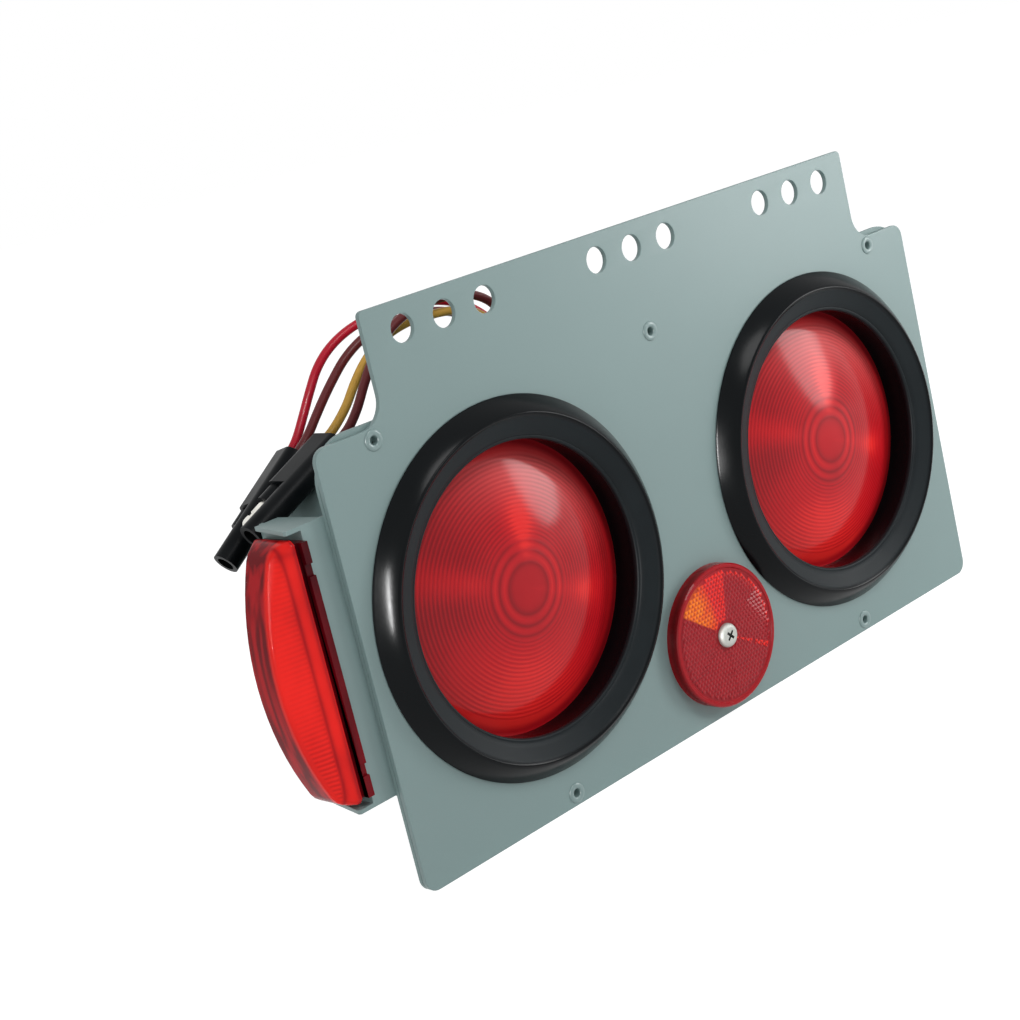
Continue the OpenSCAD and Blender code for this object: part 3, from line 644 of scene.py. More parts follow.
@dataclass(frozen=True)
class ClearGlass(Finish):
    """Thin bulb glass."""

    def paint(self, s: Shader) -> None:
        """Sets the surface.

        Args:
            s: The material's shader.
        """
        s.set(
            base_color=s.blend(s.noise(6.0, 1.0), (0.90, 0.93, 0.95), (0.97, 0.98, 0.99)),
            roughness=s.noise(8.0, 1.0) * 0.06,
            transmission_weight=0.9,
            ior=1.5,
        )


@dataclass(frozen=True)
class Vinyl(Finish):
    """Smooth wire insulation with slight streaks along its length."""

    colour: Colour

    def paint(self, s: Shader) -> None:
        """Sets the surface.

        Args:
            s: The material's shader.
        """
        streak = s.noise(3.0, 2.0)
        s.set(
            base_color=s.blend(streak, tint(self.colour, 0.78), self.colour),
            roughness=0.34 + (streak - 0.5) * 0.2,
            normal=s.relief(s.noise(0.8, 2.0), 0.008),
            specular_ior_level=0.15,
            coat_weight=0.14,
            coat_roughness=0.12,
        )


class Finishes:
    """Every material of the part, made once."""

    def __init__(self) -> None:
        """Builds the materials."""
        self.panel = Enamel("panel_enamel").build()
        self.cover = Enamel("cover_enamel", roughness=0.48, coat=0.04, peel=0.009).build()
        self.rivet = Enamel("rivet_enamel", roughness=0.34, coat=0.4).build()
        self.lamp_rubber = MoldedRing("lamp_rubber").build()
        self.lead_rubber = Rubber("lead_rubber").build()
        self.lens_left = RingedLens("lens_red_left", (-LAMP_X, LAMP_Z)).build()
        self.lens_right = RingedLens("lens_red_right", (LAMP_X, LAMP_Z)).build()
        self.reflex = ReflexRed("reflex_red").build()
        self.reflex_back = ClearPlastic(
            "reflex_back", (0.20, 0.01, 0.012), (0.12, 0.006, 0.008)
        ).build()
        self.marker = MarkerRed("marker_red").build()
        self.marker_base = ClearPlastic(
            "marker_base_red", (0.17, 0.003, 0.008), (0.06, 0.001, 0.004), coat=0.12
        ).build()
        self.shell = Metal("lamp_shell", (0.75, 0.76, 0.78), 0.18).build()
        self.brass = Metal("brass", (0.70, 0.50, 0.22), 0.25).build()
        self.steel = Metal("zinc_steel", (0.50, 0.52, 0.50), 0.58, 0.12).build()
        self.screw = ScrewHead("screw_head").build()
        self.bullet = Metal("bullet_metal", (0.80, 0.78, 0.72), 0.18).build()
        self.glass = ClearGlass("bulb_glass").build()
        self.red = Vinyl("vinyl_red", (0.62, 0.012, 0.035)).build()
        self.brown = Vinyl("vinyl_brown", (0.165, 0.026, 0.028)).build()
        self.yellow = Vinyl("vinyl_yellow", (0.74, 0.42, 0.075)).build()


# Meshes


def join(name: str, data: bpy.types.ID) -> Object:
    """Adds an object to the scene.

    Args:
        name: Its name.
        data: Its mesh, curve, camera or light.

    Returns:
        The object.
    """
    added = bpy.data.objects.new(name, data)
    bpy.context.scene.collection.objects.link(added)
    return added


def baked(holder: Object) -> Mesh:
    """Takes an object out of the scene and keeps its shape.

    Args:
        holder: The object, a curve or a mesh with modifiers.

    Returns:
        The shape as one plain mesh.
    """
    graph = bpy.context.evaluated_depsgraph_get()
    done = bpy.data.meshes.new_from_object(holder.evaluated_get(graph))
    holder.modifiers.clear()
    bpy.data.objects.remove(holder)
    return done


def raw(
    name: str, points: Sequence[Sequence[float]], faces: Sequence[Sequence[int]] = ()
) -> Mesh:
    """Makes a mesh from points in millimetres.

    Args:
        name: The mesh's name.
        points: Its points.
        faces: Its faces.

    Returns:
        The mesh as it is given.
    """
    mesh = bpy.data.meshes.new(name)
    mesh.from_pydata([[c * MM for c in p] for p in points], [], faces)
    return mesh


def smooth(mesh: Mesh, angle: float) -> None:
    """Shades a mesh smooth, apart from its sharp edges.

    Args:
        mesh: The mesh.
        angle: The angle of its sharp edges, in degrees.
    """
    mesh.polygons.foreach_set("use_smooth", [True] * len(mesh.polygons))
    mesh.set_sharp_from_angle(angle=math.radians(angle))
    mesh.update()


def even(mesh: Mesh) -> Mesh:
    """Shades a mesh by its large faces, so that its flats stay flat beside their rounded edges.

    Args:
        mesh: The mesh.

    Returns:
        The shaded mesh.
    """
    smooth(mesh, 40.0)
    holder = join("even", mesh)
    weighted = holder.modifiers.new("even", "WEIGHTED_NORMAL")
    weighted.keep_sharp = True
    weighted.weight = 90
    return baked(holder)


def weld(
    mesh: Mesh,
    distance: float,
    change: Callable[[bmesh.types.BMesh], None] | None = None,
) -> None:
    """Merges a mesh's doubles and turns its faces outward.

    Args:
        mesh: The mesh.
        distance: How far apart doubles lie at most, in metres.
        change: What is done to the merged mesh.
    """
    work = bmesh.new()
    work.from_mesh(mesh)
    bmesh.ops.remove_doubles(work, verts=work.verts, dist=distance)
    if change is not None:
        change(work)
    bmesh.ops.recalc_face_normals(work, faces=work.faces)
    work.to_mesh(mesh)
    work.free()


def looped(profile: Sequence[Point2], loop: Sequence[Point3], angle: float) -> Mesh:
    """Runs a closed profile round a closed loop, and fills the loop where the profile meets it.

    Args:
        profile: Distance from the loop and depth of its points, in order.
        loop: X and Z of its places, and the way outward there in radians.
        angle: The angle of the sharp edges, in degrees.

    Returns:
        The smooth mesh.
    """
    n, m = len(profile), len(loop)
    core = [k for k in range(n) if profile[k][0] < 1e-6]
    corners = [i for i in range(m) if loop[i][:2] != loop[i - 1][:2]]
    faces = []
    for i in range(m):
        j = (i + 1) % m
        for k in range(n):
            up = (k + 1) % n
            if k not in core or up not in core:
                faces.append([i * n + k, i * n + up, j * n + up, j * n + k])
    if corners:
        faces += [[i * n + k for i in corners] for k in core]
    mesh = raw(
        "part",
        [(x + d * math.cos(a), y, z + d * math.sin(a)) for x, z, a in loop for d, y in profile],
        faces,
    )
    weld(mesh, 1e-6)
    smooth(mesh, angle)
    return mesh


def turned(profile: Sequence[Point2], steps: int, angle: float = SHARP) -> Mesh:
    """Turns a closed profile of radius and depth round the Y axis.

    Args:
        profile: Its points, in order.
        steps: How many sides the turned mesh has.
        angle: The angle of its sharp edges, in degrees.

    Returns:
        The mesh, about the origin.
    """
    return looped(profile, [(0.0, 0.0, 2 * math.pi * i / steps) for i in range(steps)], angle)


def at(x: float, y: float, z: float) -> Matrix:
    """Returns a shift in millimetres."""
    return Matrix.Translation((x * MM, y * MM, z * MM))


def arc(cx: float, cy: float, r: float, start: float, end: float, steps: int) -> list[Point2]:
    """Returns the points of an arc, its angles in degrees."""
    turns = (math.radians(start + (end - start) * i / steps) for i in range(steps + 1))
    return [(cx + r * math.cos(a), cy + r * math.sin(a)) for a in turns]


def ring(x: float, z: float, r: float, steps: int = 64) -> list[Point2]:
    """Returns a round outline."""
    return arc(x, z, r, 0, 360, steps)[:-1]


def rounded(
    half: float, low: float, high: float, radii: Sequence[float], steps: int = 10
) -> list[Point2]:
    """Rounds the corners of a rectangle about the middle.

    Args:
        half: Half its width.
        low: Its lower edge.
        high: Its upper edge.
        radii: Radius at lower right, upper right, upper left and lower left.
        steps: Faces round each corner.

    Returns:
        The outline.
    """
    a, b, c, d = radii
    return [
        *arc(half - a, low + a, a, -90, 0, steps),
        *arc(half - b, high - b, b, 0, 90, steps),
        *arc(c - half, high - c, c, 90, 180, steps),
        *arc(d - half, low + d, d, 180, 270, steps),
    ]


def poly(curve: Curve, points: Sequence[Sequence[float]]) -> bpy.types.Spline:
    """Adds a line of straight pieces to a curve.

    Args:
        curve: The curve.
        points: The line's points, in metres.

    Returns:
        The line.
    """
    spline = curve.splines.new("POLY")
    spline.points.add(len(points) - 1)
    for point, place in zip(spline.points, points):
        point.co = (*place, 1)
    return spline


def plate(
    outlines: Iterable[Sequence[Point2]], front: float, thickness: float, bevel: float
) -> Mesh:
    """Cuts a sheet with holes out of its outlines, with softened cut edges.

    Args:
        outlines: The outer outline and the holes, in X and Z.
        front: Depth of the sheet's front.
        thickness: Its thickness.
        bevel: Width of its softened edges.

    Returns:
        The mesh, in the part's frame.
    """
    curve = bpy.data.curves.new("outline", "CURVE")
    curve.dimensions = "2D"
    curve.fill_mode = "BOTH"
    curve.extrude = (thickness / 2 - bevel) * MM
    curve.bevel_depth = bevel * MM
    curve.bevel_resolution = 1
    curve.offset = -bevel * MM
    for outline in outlines:
        poly(curve, [(x * MM, z * MM, 0) for x, z in outline]).use_cyclic_u = True
    mesh = baked(join("outline", curve))
    bpy.data.curves.remove(curve)
    mesh.transform(at(0, front + thickness / 2, 0) @ Matrix.Rotation(math.radians(90), 4, "X"))
    weld(mesh, 1e-7)
    return even(mesh)


def softened(node: str, width: float, segments: int = 2, angle: float = SHARP) -> Mesh:
    """Copies a solid's mesh and rounds its sharp edges.

    Args:
        node: The solid's node.
        width: Width of the rounding in millimetres.
        segments: Faces across each rounding.
        angle: Edges that turn by more than this are rounded.

    Returns:
        The copy.
    """

    def round_edges(work: bmesh.types.BMesh) -> None:
        """Joins flat faces and bevels the sharp edges.

        Args:
            work: The merged mesh.
        """
        flat = math.radians(1.0)
        bmesh.ops.dissolve_limit(work, angle_limit=flat, verts=work.verts, edges=work.edges)
        sharp = [
            e for e in work.edges
            if len(e.link_faces) == 2 and e.calc_face_angle(0.0) > math.radians(angle)
        ]
        bmesh.ops.bevel(
            work, geom=sharp, offset=width * MM, segments=segments,
            profile=0.5, affect="EDGES", clamp_overlap=True,
        )

    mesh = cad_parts[node].data.copy()
    weld(mesh, 1e-6, round_edges)
    return even(mesh)


def put(
    name: str, mesh: Mesh, material: Material, slot: str, *nodes: str
) -> None:
    """Adds a finished piece that rides with the part.

    Args:
        name: The piece's name.
        mesh: Its mesh, in place.
        material: Its finish.
        slot: Not used.
        nodes: The solids that it stands for.
    """
    mesh.name = name
    mesh.materials.clear()
    mesh.materials.append(material)
    piece = join(name, mesh)
    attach(piece, ROOT)
    if nodes:
        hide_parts(*nodes)
    LOG.info("%s: %d faces", name, len(mesh.polygons))


def dress(material: Material, *nodes: str) -> None:
    """Gives solids their finish.

    Args:
        material: The finish.
        nodes: The solids' nodes.
    """
    for node in nodes:
        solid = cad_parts[node]
        solid.data.materials.clear()
        solid.data.materials.append(material)
        LOG.info("%s: finish %s", node, material.name)


class RepeatTree:
    """A Geometry Nodes tree that sets one template on every point of a mesh."""

    def __init__(self, name: str) -> None:
        """Builds the tree.

        Args:
            name: The tree's name.
        """
        self.group = bpy.data.node_groups.new(name, "GeometryNodeTree")
        face = self.group.interface
        face.new_socket("Points", in_out="INPUT", socket_type="NodeSocketGeometry")
        self.sockets = {
            key: face.new_socket(key, in_out="INPUT", socket_type=kind).identifier
            for key, kind in (
                ("Template", "NodeSocketObject"),
                ("Size", "NodeSocketFloat"),
                ("Finish", "NodeSocketMaterial"),
            )
        }
        face.new_socket("Geometry", in_out="OUTPUT", socket_type="NodeSocketGeometry")
        add = partial(add_node, self.group)
        given = add("NodeGroupInput").outputs
        copy = add("GeometryNodeObjectInfo", {"Object": given["Template"]}).outputs["Geometry"]
        inputs = {"Points": given["Points"], "Instance": copy, "Scale": given["Size"]}
        spread = add("GeometryNodeInstanceOnPoints", inputs).outputs["Instances"]
        real = add("GeometryNodeRealizeInstances", {"Geometry": spread}).outputs["Geometry"]
        inputs = {"Geometry": real, "Material": given["Finish"]}
        paint = add("GeometryNodeSetMaterial", inputs).outputs["Geometry"]
        add("NodeGroupOutput", {0: paint})

    def fill(
        self, points: Sequence[Point3], template: Mesh, material: Material, size: float = 1.0
    ) -> Mesh:
        """Repeats a template.

        Args:
            points: Where it goes, in millimetres.
            template: The mesh to repeat, about the origin.
            material: Its finish.
            size: Its scale.

        Returns:
            One plain mesh with every copy.
        """
        holder = join("seats", raw("seats", points))
        model = join("template", template)
        modifier = holder.modifiers.new("repeat", "NODES")
        modifier.node_group = self.group
        modifier[self.sockets["Template"]] = model
        modifier[self.sockets["Size"]] = size
        modifier[self.sockets["Finish"]] = material
        done = baked(holder)
        bpy.data.objects.remove(model)
        return done


# Camera and studio


@dataclass(frozen=True)
class Viewpoint:
    """The photograph's camera, in the part's frame."""

    place: Point3 = (-486.4, -482.6, 75.9)
    right: Point3 = (0.7123, -0.6634, -0.2293)
    up: Point3 = (0.3133, 0.0081, 0.9496)
    lens: float = 67.03
    shift_y: float = -0.0275

    def make(self) -> None:
        """Adds the camera and makes it the scene's own."""
        data = bpy.data.cameras.new("view")
        data.lens = self.lens
        data.sensor_width = 36.0
        data.shift_y = self.shift_y
        data.clip_start, data.clip_end = 0.02, 20.0
        camera = join("view", data)
        right, up = Vector(self.right).normalized(), Vector(self.up)
        back = right.cross(up).normalized()
        turn = Matrix((right, back.cross(right), back)).transposed().to_4x4()
        camera.matrix_world = at(*self.place) @ turn
        bpy.context.scene.camera = camera


@dataclass(frozen=True)
class Softbox:
    """One soft studio lamp that faces a point of the part."""

    name: str
    place: Point3
    size: Point2
    power: float
    aim: Point3 = (0.0, 0.0, -90.0)
    glint: bool = False

    def make(self) -> None:
        """Adds the lamp, seen in reflections alone if it is a glint."""
        data = bpy.data.lights.new(self.name, "AREA")
        data.shape = "ELLIPSE"
        data.size, data.size_y = self.size[0] * MM, self.size[1] * MM
        data.energy = self.power
        lamp = join(self.name, data)
        lamp.visible_diffuse = not self.glint
        way = Vector(self.aim) - Vector(self.place)
        lamp.matrix_world = at(*self.place) @ way.to_track_quat("-Z", "Y").to_matrix().to_4x4()


@dataclass(frozen=True)
class Studio:
    """Plain pale floor, white surround and soft lamps."""

    floor_z: float
    daylight: float = 0.38
    daylight_colour: Colour = (0.95, 0.98, 1.0)
    floor_reach: float = 6000.0
    floor_base: float = 0.92
    seen_base: float = 0.34
    seen_shine: float = 0.93
    lamps: tuple[Softbox, ...] = (
        Softbox("key_lamp", (20, -900, 900), (620, 480), 5.6),
        Softbox("side_lamp", (-1100, -150, 160), (200, 700), 1.8),
        Softbox("far_lamp", (620, -460, 60), (260, 420), 2.5),
        Softbox("strip_lamp", (-930, -620, 60), (34, 540), 15.0, glint=True),
    )

    def make(self) -> None:
        """Builds floor, world and lamps."""
        scene = bpy.context.scene
        scene.view_settings.view_transform = "Standard"
        scene.world = bpy.data.worlds.new("surround")
        scene.world.use_nodes = True
        tree = scene.world.node_tree
        tree.nodes.clear()
        ambient, white = (
            add_node(tree, "ShaderNodeBackground", {0: (*colour, 1), 1: strength}).outputs[0]
            for colour, strength in ((self.daylight_colour, self.daylight), ((1, 1, 1), 1.0))
        )
        add_node(tree, "ShaderNodeOutputWorld", {0: self.by_view(tree, ambient, white)})
        self.make_floor()
        for lamp in self.lamps:
            lamp.make()

    @staticmethod
    def by_view(
        tree: NodeTree, lit: NodeSocket, seen: NodeSocket
    ) -> NodeSocket:
        """Chooses between two shaders by the kind of ray.

        Args:
            tree: Their tree.
            lit: The shader for rays that light the part.
            seen: The shader for camera, glossy and transmission rays, which show the surround.

        Returns:
            The mixed shader's socket.
        """
        path = add_node(tree, "ShaderNodeLightPath").outputs
        total = path["Is Camera Ray"]
        for name in ("Is Glossy Ray", "Is Transmission Ray"):
            pair = {0: total, 1: path[name]}
            total = add_node(tree, "ShaderNodeMath", pair, operation="MAXIMUM").outputs[0]
        return add_node(tree, "ShaderNodeMixShader", {0: total, 1: lit, 2: seen}).outputs[0]

    def make_floor(self) -> None:
        """Adds the floor, white where it is seen, with the part's soft shadow on it."""
        material = bpy.data.materials.new("floor_white")
        material.use_nodes = True
        tree = material.node_tree
        lit, seen = (
            add_node(tree, "ShaderNodeBsdfPrincipled", {
                "Base Color": (base, base, base, 1),
                "Roughness": 1.0,
                "Specular IOR Level": 0.0,
                "Emission Color": (1, 1, 1, 1),
                "Emission Strength": shine,
            }).outputs[0]
            for base, shine in ((self.floor_base, 0.0), (self.seen_base, self.seen_shine))
        )
        surface = tree.nodes["Material Output"].inputs["Surface"]
        tree.links.new(self.by_view(tree, lit, seen), surface)
        f = self.floor_reach
        corners = [(x, y, self.floor_z) for x, y in ((-f, -f), (f, -f), (f, f), (-f, f))]
        mesh = raw("floor", corners, [(0, 1, 2, 3)])
        mesh.materials.append(material)
        join("floor", mesh)


# Leads


class LeadColour(Enum):
    """The four leads, by the colour of their insulation."""

    RED = "wire_red"
    BROWN_A = "wire_brown_a"
    YELLOW = "wire_yellow"
    BROWN_B = "wire_brown_b"


@dataclass
class Leads:
    """Two pairs of leads from the cover's bush to their moulded plugs."""

    finishes: Finishes
    diameter: float = 3.3
    steps: int = 6

    ROUTES = {
        LeadColour.RED: (
            (-33, 41, -33.1), (-33, 41.5, -27), (-34, 42, -20.5), (-37, 42.5, -14.3),
            (-42, 43.5, -9), (-48.5, 44.5, -4.8), (-56, 45.5, -2), (-64, 46.5, -0.4),
            (-72.5, 47.5, 0.2), (-81, 48.5, 0), (-89.5, 49.5, -1), (-97.5, 50.5, -3.3),
            (-104.5, 51.5, -7), (-110, 52.5, -12), (-114.3, 53.5, -18.3), (-118.3, 55, -25.5),
            (-123, 56.2, -33), (-128.5, 56.4, -38.2),
        ),
        LeadColour.BROWN_A: (
            (-37, 40.5, -33.1), (-37, 41, -27), (-38, 41.5, -21.5), (-40.5, 42, -16.5),
            (-44.5, 42.5, -12), (-50, 43, -8.5), (-57, 43.5, -5.8), (-65, 44, -4.2),
            (-73, 44.5, -3.6), (-81, 45, -3.8), (-89, 45.5, -5), (-96, 46, -7.5),
            (-102.5, 46.5, -11.3), (-108.3, 47, -16.2), (-113.5, 47.5, -21.2),
            (-118.5, 48, -26.5), (-123.7, 48.5, -32.1), (-129.6, 48.6, -36.4),
        ),
        LeadColour.YELLOW: (
            (-37, 36, -32.7), (-37, 36, -26.5), (-38.5, 36, -20.5), (-42, 36, -14.5),
            (-47.5, 36, -9.5), (-54.5, 36, -6.5), (-62.5, 36, -5), (-70.5, 36.5, -4.5),
            (-78.5, 37, -4.5), (-86.5, 37.5, -6), (-94, 38, -9), (-100.5, 38.5, -13.5),
            (-106, 39, -19), (-111.5, 39, -25), (-118, 39, -30.2), (-124.5, 39, -34),
        ),
        LeadColour.BROWN_B: (
            (-33, 36, -32.7), (-33, 36, -26), (-34, 35.5, -19), (-37, 35, -12.5),
            (-42, 34.5, -6.5), (-49, 34, -2.5), (-57, 33.5, -0.5), (-65, 33, 0.5),
            (-73, 32.5, 0.5), (-81, 32, -0.5), (-89, 31.5, -3), (-96, 31, -7),
            (-102.5, 31, -12.5), (-108, 31, -19), (-113, 31, -25.5), (-118.5, 31, -30.7),
            (-124.5, 31, -34),
        ),
    }
    PLUG_NODES = {
        plug: (f"plug_body_{plug}", f"bullet_pin_{plug}", f"plug_sleeve_{plug}") for plug in "ab"
    }

    def smooth_route(self, route: Sequence[Point3]) -> list[Vector]:
        """Runs a smooth line through a route.

        Args:
            route: Its points, in millimetres.

        Returns:
            Close points of the line, in metres.
        """
        p = [Vector(q) * MM for q in route]
        p = [2 * p[0] - p[1], *p, 2 * p[-1] - p[-2]]
        line = []
        for a, b, c, d in zip(p, p[1:], p[2:], p[3:]):
            for t in (k / self.steps for k in range(self.steps)):
                line.append(
                    0.5 * (
                        2 * b
                        + (c - a) * t
                        + (2 * a - 5 * b + 4 * c - d) * t * t
                        + (3 * b - a - 3 * c + d) * t**3
                    )
                )
        line.append(p[-2])
        return line

    def make(self) -> None:
        f = self.finishes
        dress(f.lead_rubber, "lead_bush")
        for nodes in self.PLUG_NODES.values():
            for node, finish in zip(nodes, (f.lead_rubber, f.bullet, f.brass)):
                dress(finish, node)
        colours = {
            LeadColour.RED: (f.red, "lead_red", "a"),
            LeadColour.BROWN_A: (f.brown, "lead_brown", "a"),
            LeadColour.YELLOW: (f.yellow, "lead_yellow", "b"),
            LeadColour.BROWN_B: (f.brown, "lead_brown", "b"),
        }
        for lead, (finish, slot, plug) in colours.items():
            line = self.smooth_route(self.ROUTES[lead])
            curve = bpy.data.curves.new(lead.value, "CURVE")
            curve.dimensions = "3D"
            curve.bevel_depth = self.diameter / 2 * MM
            curve.bevel_resolution = 5
            curve.use_fill_caps = True
            poly(curve, line).use_smooth = True
            curve.materials.append(finish)
            piece = join(lead.value.replace("wire", "lead"), curve)
            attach(piece, ROOT)
            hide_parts(lead.value)


# Panel and cover


@dataclass
class MountingPanel:
    """Flat sheet steel panel with its bolting strip, and the rivets that hold the cover to it."""

    finishes: Finishes
    width: float = 312.8
    low: float = -180.2
    shoulder: float = -27.2
    top: float = 9.5
    thickness: float = 2.0
    strip: float = 252.5
    corner: float = 5.0
    strip_corner: float = 2.0
    notch: float = 9.5
    bore: float = 9.5
    bolt_pitch: float = 18.4
    group_pitch: float = 91.7
    lamp_bore: float = 114.3
    rivet_x: Point2 = (132.5, 85.0)
    rivet_in: Point2 = (3.8, 4.6)
    rivet_hole: float = 2.55
    screw_hole: float = 2.25
    cut_edge: float = 0.35

    def rivet_places(self) -> list[Point2]:
        """Places the five rivets.

        Returns:
            Their middles in X and Z.
        """
        (high_x, low_x), (high_in, low_in) = self.rivet_x, self.rivet_in
        top, low = self.shoulder - high_in, self.low + low_in
        return [(-high_x, top), (0.0, top), (high_x, top), (-low_x, low), (low_x, low)]

    def outline(self) -> list[Point2]:
        """Draws the panel, its right half first.

        Returns:
            The outer outline in X and Z.
        """
        half, strip, c, n = self.width / 2, self.strip / 2, self.corner, self.notch
        s = self.strip_corner
        right = [
            *arc(half - c, self.low + c, c, -90, 0, 8),
            *arc(half - c, self.shoulder - c, c, 0, 90, 8),
            *arc(strip + n, self.shoulder + n, n, 270, 180, 12),
            *arc(strip - s, self.top - s, s, 0, 90, 5),
        ]
        return right + [(-x, z) for x, z in reversed(right)]

    def make(self) -> None:
        """Builds the panel and its clinched rivets."""
        holes = [
            ring(g * self.group_pitch + h * self.bolt_pitch, 0.0, self.bore / 2)
            for g in (-1, 0, 1) for h in (-1, 0, 1)
        ]
        holes += [ring(s * LAMP_X, LAMP_Z, self.lamp_bore / 2, 160) for s in (-1, 1)]
        holes += [ring(x, z, self.rivet_hole, 32) for x, z in self.rivet_places()]
        holes.append(ring(0, REFLEX_Z, self.screw_hole, 32))
        mesh = plate([self.outline(), *holes], 0.0, self.thickness, self.cut_edge)
        put("panel_sheet", mesh, self.finishes.panel, "panel_paint", "mounting_panel")
        self.make_rivets()

    def make_rivets(self) -> None:
        """Builds the five rivets from one turned template."""
        roll = [(r, y * 0.57) for r, y in arc(2.55, 0.0, 1.05, 180, 360, 12)]
        profile = [
            (0.0, 2.5), (1.45, 2.5), (1.5, 0.2), *roll,
            (2.4, 0.05), (2.4, 3.5), (4.2, 3.5),
            *arc(3.4, 3.9, 0.8, 0, 90, 5),
            (2.0, 4.72), (0.0, 4.78),
        ]
        points = [(x, 0.0, z) for x, z in self.rivet_places()]
        mesh = RepeatTree("rivet_row").fill(points, turned(profile, 40), self.finishes.rivet)
        put("clinched_rivets", mesh, self.finishes.rivet, "rivet_paint", "cover_rivets")


@dataclass
class RearCover:
    """Deep-drawn cover: a flange with its holes and a pan with drafted walls."""

    finishes: Finishes
    panel: MountingPanel
    thickness: float = 1.5
    depth: float = 62.0
    draft: float = 4.6
    edge: float = 18.0
    base: float = 3.0
    core: float = 0.6
    width: float = 290.0
    height: float = 127.5
    rise: float = 14.4
    flange_rise: float = 1.8
    flange_corner: float = 15.0
    flange_edge: float = 0.02
    spare_rises: Point2 = (28.7, 125.6)
    bracket_rise: float = 36.0
    side_hole_in: float = 4.4
    side_hole: float = 2.0
    corner_steps: int = 16

    def section(self) -> tuple[list[Point2], float, float]:
        """Draws the drafted wall from its foot on the flange to the rear face, and back inside.

        Returns:
            The closed section, and how far its bend and its foot are from the core.
        """
        front = self.panel.thickness
        back = front + self.thickness
        rear = front + self.depth
        mid = rear - self.edge
        a = math.radians(self.draft)
        flare = self.edge + self.base + (mid - back - self.base) * math.sin(a)
        bend = self.core + flare / math.cos(a)
        foot = self.core + (self.edge + (mid - back) * math.sin(a)) / math.cos(a)
        outer = [
            *arc(bend, back + self.base, self.base, 270, 180 + self.draft, 8),
            *arc(self.core, mid, self.edge, self.draft, 90, 20),
            (0.0, rear),
        ]
        inner = [
            (0.0, rear - self.thickness),
            *arc(self.core, mid, self.edge - self.thickness, 90, self.draft, 20),
            *arc(bend, back + self.base, self.base + self.thickness, 180 + self.draft, 270, 8),
        ]
        return outer + inner, bend, foot

    def make(self) -> None:
        """Builds the cover as one flange sheet and one drawn pan."""
        p = self.panel
        section, bend, foot = self.section()
        low = p.low + self.rise
        x1 = self.width / 2 - foot
        z0, z1 = low + foot, low + self.height - foot
        half, c = p.width / 2, self.flange_corner
        outer = rounded(half, p.low, p.shoulder + self.flange_rise, (p.corner, c, c, p.corner))
        mouth = rounded(x1 + bend, z0 - bend, z1 + bend, (bend,) * 4, self.corner_steps)
        side = half - self.side_hole_in
        holes = [ring(x, z, p.rivet_hole, 32) for x, z in p.rivet_places()]
        holes += [ring(side, p.low + z, self.side_hole, 32) for z in self.spare_rises]
        holes += [
            ring(-side, MARKER_Z + s * self.bracket_rise, self.side_hole, 32) for s in (-1, 1)
        ]
        flange = plate([outer, mouth, *holes], p.thickness, self.thickness, self.flange_edge)
        put("cover_flange", flange, self.finishes.cover, "cover_paint")
        loop = [
            (x, z, math.radians(start + 90 * i / self.corner_steps))
            for x, z, start in ((x1, z0, -90), (x1, z1, 0), (-x1, z1, 90), (-x1, z0, 180))
            for i in range(self.corner_steps + 1)
        ]
        pan = looped(section, loop, 30)
        put("cover_pan", pan, self.finishes.cover, "cover_paint", "rear_cover")


# Round lamps


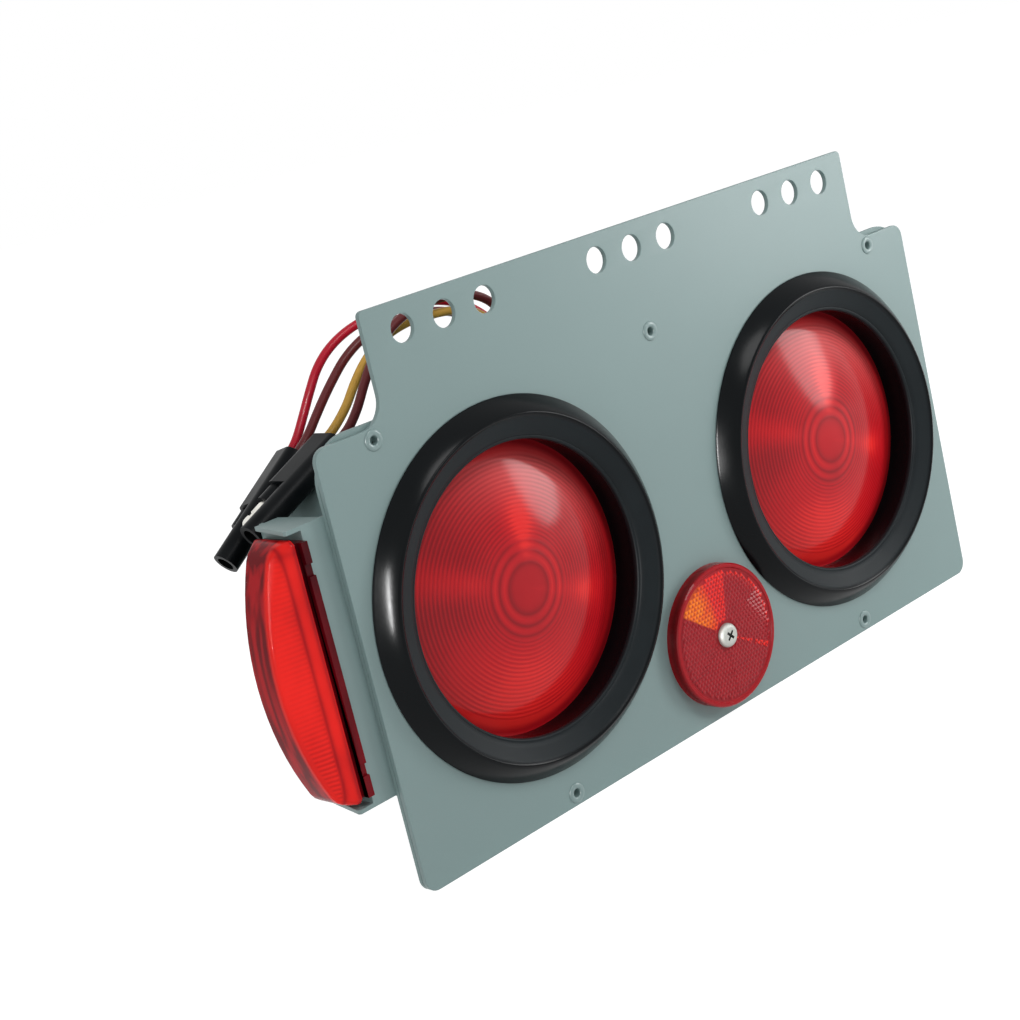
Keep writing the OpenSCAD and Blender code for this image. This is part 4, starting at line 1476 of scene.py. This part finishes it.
@dataclass
class RoundLamp:
    """One sealed round lamp in its rubber: lens, rubber and the hidden body."""

    side: str
    finishes: Finishes
    lens_finish: Material
    x: float
    rim: float = 54.3
    opening: float = 51.2
    seat: float = 8.8
    lip: float = 3.2
    dome_stand: float = 1.5
    lens_rim: float = 2.1
    wall: float = 2.4
    rubber: float = 66.7
    cut_out: float = 57.15
    ridge: float = 6.8
    steps: int = 192

    def dome(self, r: float) -> float:
        """Works out the lens's front.

        Args:
            r: A radius.

        Returns:
            The front's depth there.
        """
        edge, sag = self.opening + 0.3, self.seat + self.dome_stand
        big = (edge * edge + sag * sag) / (2 * sag)
        return big - math.sqrt(big * big - r * r) - self.dome_stand

    def lens(self) -> Mesh:
        """Turns the domed lens with its thin rim.

        Returns:
            The lens, about the origin.
        """
        edge = self.opening + 0.3
        front = [(edge * i / 48, self.dome(edge * i / 48)) for i in range(49)]
        back = [(r, y + self.wall) for r, y in reversed(front) if r < self.rim - 4]
        profile = [
            *front, (self.rim, self.seat), (self.rim, self.seat + self.lens_rim),
            (self.rim - 4, self.seat + self.lens_rim), *back,
        ]
        return turned(profile, self.steps)

    def rubber_ring(self) -> Mesh:
        """Turns the rubber with its bead, groove, sloping face and lip.

        Returns:
            The rubber, about the origin.
        """
        outer, inner, h = self.rubber, self.opening, self.ridge
        groove, seat = self.cut_out - 0.15, self.rim + 0.15
        back = self.seat + self.lens_rim + 2.0
        flank = [
            (outer - 6.2 * f, -0.4 - (h - 0.5) * (0.7 * f + 0.3 * math.sin(math.radians(90 * f))))
            for f in (i / 24 for i in range(1, 24))
        ]
        profile = [
            (groove, 0.0), (outer - 0.5, 0.0), *arc(outer - 0.45, -0.4, 0.4, 80, 0, 4), *flank,
            *arc(outer - 6.7, 0.75 - h, 0.75, -48, -130, 8),
            (outer - 7.6, 0.42 - h), (outer - 7.95, 0.78 - h), (outer - 8.4, 0.98 - h),
            (inner + 3.2, -self.lip - 1.1), (inner + 1.6, -self.lip - 0.5),
            *arc(inner + 0.9, 0.9 - self.lip, 0.9, -75, -180, 8),
            (inner + 0.1, 1.0), (inner + 0.6, self.seat),
            (seat, self.seat), (seat, back), (inner + 0.8, back),
            (inner + 0.9, back + 1.6), (inner + 2.2, back + 3.2),
            (groove - 0.6, back + 3.2), (groove - 0.2, 7.0),
            (self.cut_out + 1.1, 2.8), (self.cut_out + 1.1, 2.0), (groove, 2.0),
        ]
        return turned(profile, self.steps, 40)

    def make(self) -> None:
        """Builds the lens and rubber, and finishes the hidden pieces."""
        f, side = self.finishes, self.side
        for name, mesh, finish, slot, node in (
            ("lens_dome", self.lens(), self.lens_finish, "lens_red", "lens"),
            ("rubber_ring", self.rubber_ring(), f.lamp_rubber, "lamp_rubber", "grommet"),
        ):
            mesh.transform(at(self.x, 0, LAMP_Z))
            put(f"{name}_{side}", mesh, finish, slot, f"{node}_{side}")
        dress(f.shell, f"lamp_body_{side}")
        dress(f.glass, f"bulb_{side}")
        dress(f.brass, f"bulb_base_{side}", f"contact_pins_{side}")


# Reflex reflector


@dataclass
class ReflexUnit:
    """Round reflex reflector with its screw, washer and nut."""

    finishes: Finishes
    thickness: float = 5.3
    pitch: float = 1.8
    prism_depth: float = 0.34
    fields: Point2 = (5.4, 24.0)

    def prism(self, turn: float) -> Mesh:
        """Makes one cube-corner prism about the origin.

        Args:
            turn: Its turn round its axis, in degrees.

        Returns:
            The prism's three faces.
        """
        span = self.pitch / math.sqrt(3) * 0.995
        points: list[Point3] = [(0.0, 0.0, 0.0)]
        for k in range(6):
            a = math.radians(60 * k + turn)
            depth = self.prism_depth * (1 if k % 2 else 0.5)
            points.append((span * math.cos(a), depth, span * math.sin(a)))
        return raw("prism", points, [(0, 1, 2, 3), (0, 3, 4, 5), (0, 5, 6, 1)])

    def prism_places(self, field: int) -> list[Point3]:
        """Lays out the prisms of one field, which is 60 degrees wide.

        Args:
            field: Which of the six fields.

        Returns:
            The seats of its prisms.
        """
        places: list[Point3] = []
        across, up = self.pitch, self.pitch * math.sqrt(3) / 2
        depth = 0.5 - self.thickness - self.prism_depth
        inner, outer = self.fields
        for row in range(-15, 16):
            for column in range(-15, 16):
                x, z = (column + (row % 2) / 2) * across, row * up
                turn = math.degrees(math.atan2(z, x)) + 30
                if inner < math.hypot(x, z) < outer and int(turn % 360 // 60) == field:
                    places.append((x, depth, REFLEX_Z + z))
        return places

    def make(self) -> None:
        """Builds the reflector's pieces."""
        f = self.finishes
        disc = softened("reflex_reflector", 0.25, 3)
        put("reflex_disc", disc, f.reflex, "reflex_red", "reflex_reflector")
        tree = RepeatTree("prism_field")
        for field in range(6):
            prism = self.prism(30 + 60 * (field % 2))
            prisms = tree.fill(self.prism_places(field), prism, f.reflex)
            put(f"reflex_prisms_{field + 1}", prisms, f.reflex, "reflex_red")
        screw = softened("reflector_screw", 0.12)
        put("reflex_screw", screw, f.screw, "zinc_steel", "reflector_screw")
        dress(f.reflex_back, "reflector_back")
        dress(f.steel, "reflector_nut", "reflector_washer")


# Side marker


@dataclass
class SideMarker:
    """Marker lamp on its folded bracket."""

    finishes: Finishes

    def make(self) -> None:
        """Builds the marker's pieces."""
        f = self.finishes
        bracket = softened("marker_bracket", 0.25)
        put("bracket_sheet", bracket, f.panel, "bracket_paint", "marker_bracket")
        base = softened("marker_base", 0.3)
        put("marker_plate", base, f.marker_base, "marker_base_red", "marker_base")
        lens = softened("marker_lens", 0.6, 3, 25)
        put("marker_cap", lens, f.marker, "marker_red", "marker_lens")
        dress(f.rivet, "bracket_rivets")
        dress(f.steel, "marker_screws", "marker_bulb_caps")
        dress(f.glass, "marker_bulb")
        dress(f.brass, "marker_clips")
        dress(f.lead_rubber, "marker_gland")


def main() -> None:
    """Builds the scene in order and reports each piece."""
    logging.basicConfig(level=logging.INFO, format="%(name)s: %(message)s")
    Viewpoint().make()
    finishes = Finishes()
    panel = MountingPanel(finishes)
    Leads(finishes).make()
    panel.make()
    RearCover(finishes, panel).make()
    RoundLamp("left", finishes, finishes.lens_left, -LAMP_X).make()
    RoundLamp("right", finishes, finishes.lens_right, LAMP_X).make()
    ReflexUnit(finishes).make()
    SideMarker(finishes).make()
    Studio(panel.low - 0.05).make()


if __name__ == "__main__":
    main()
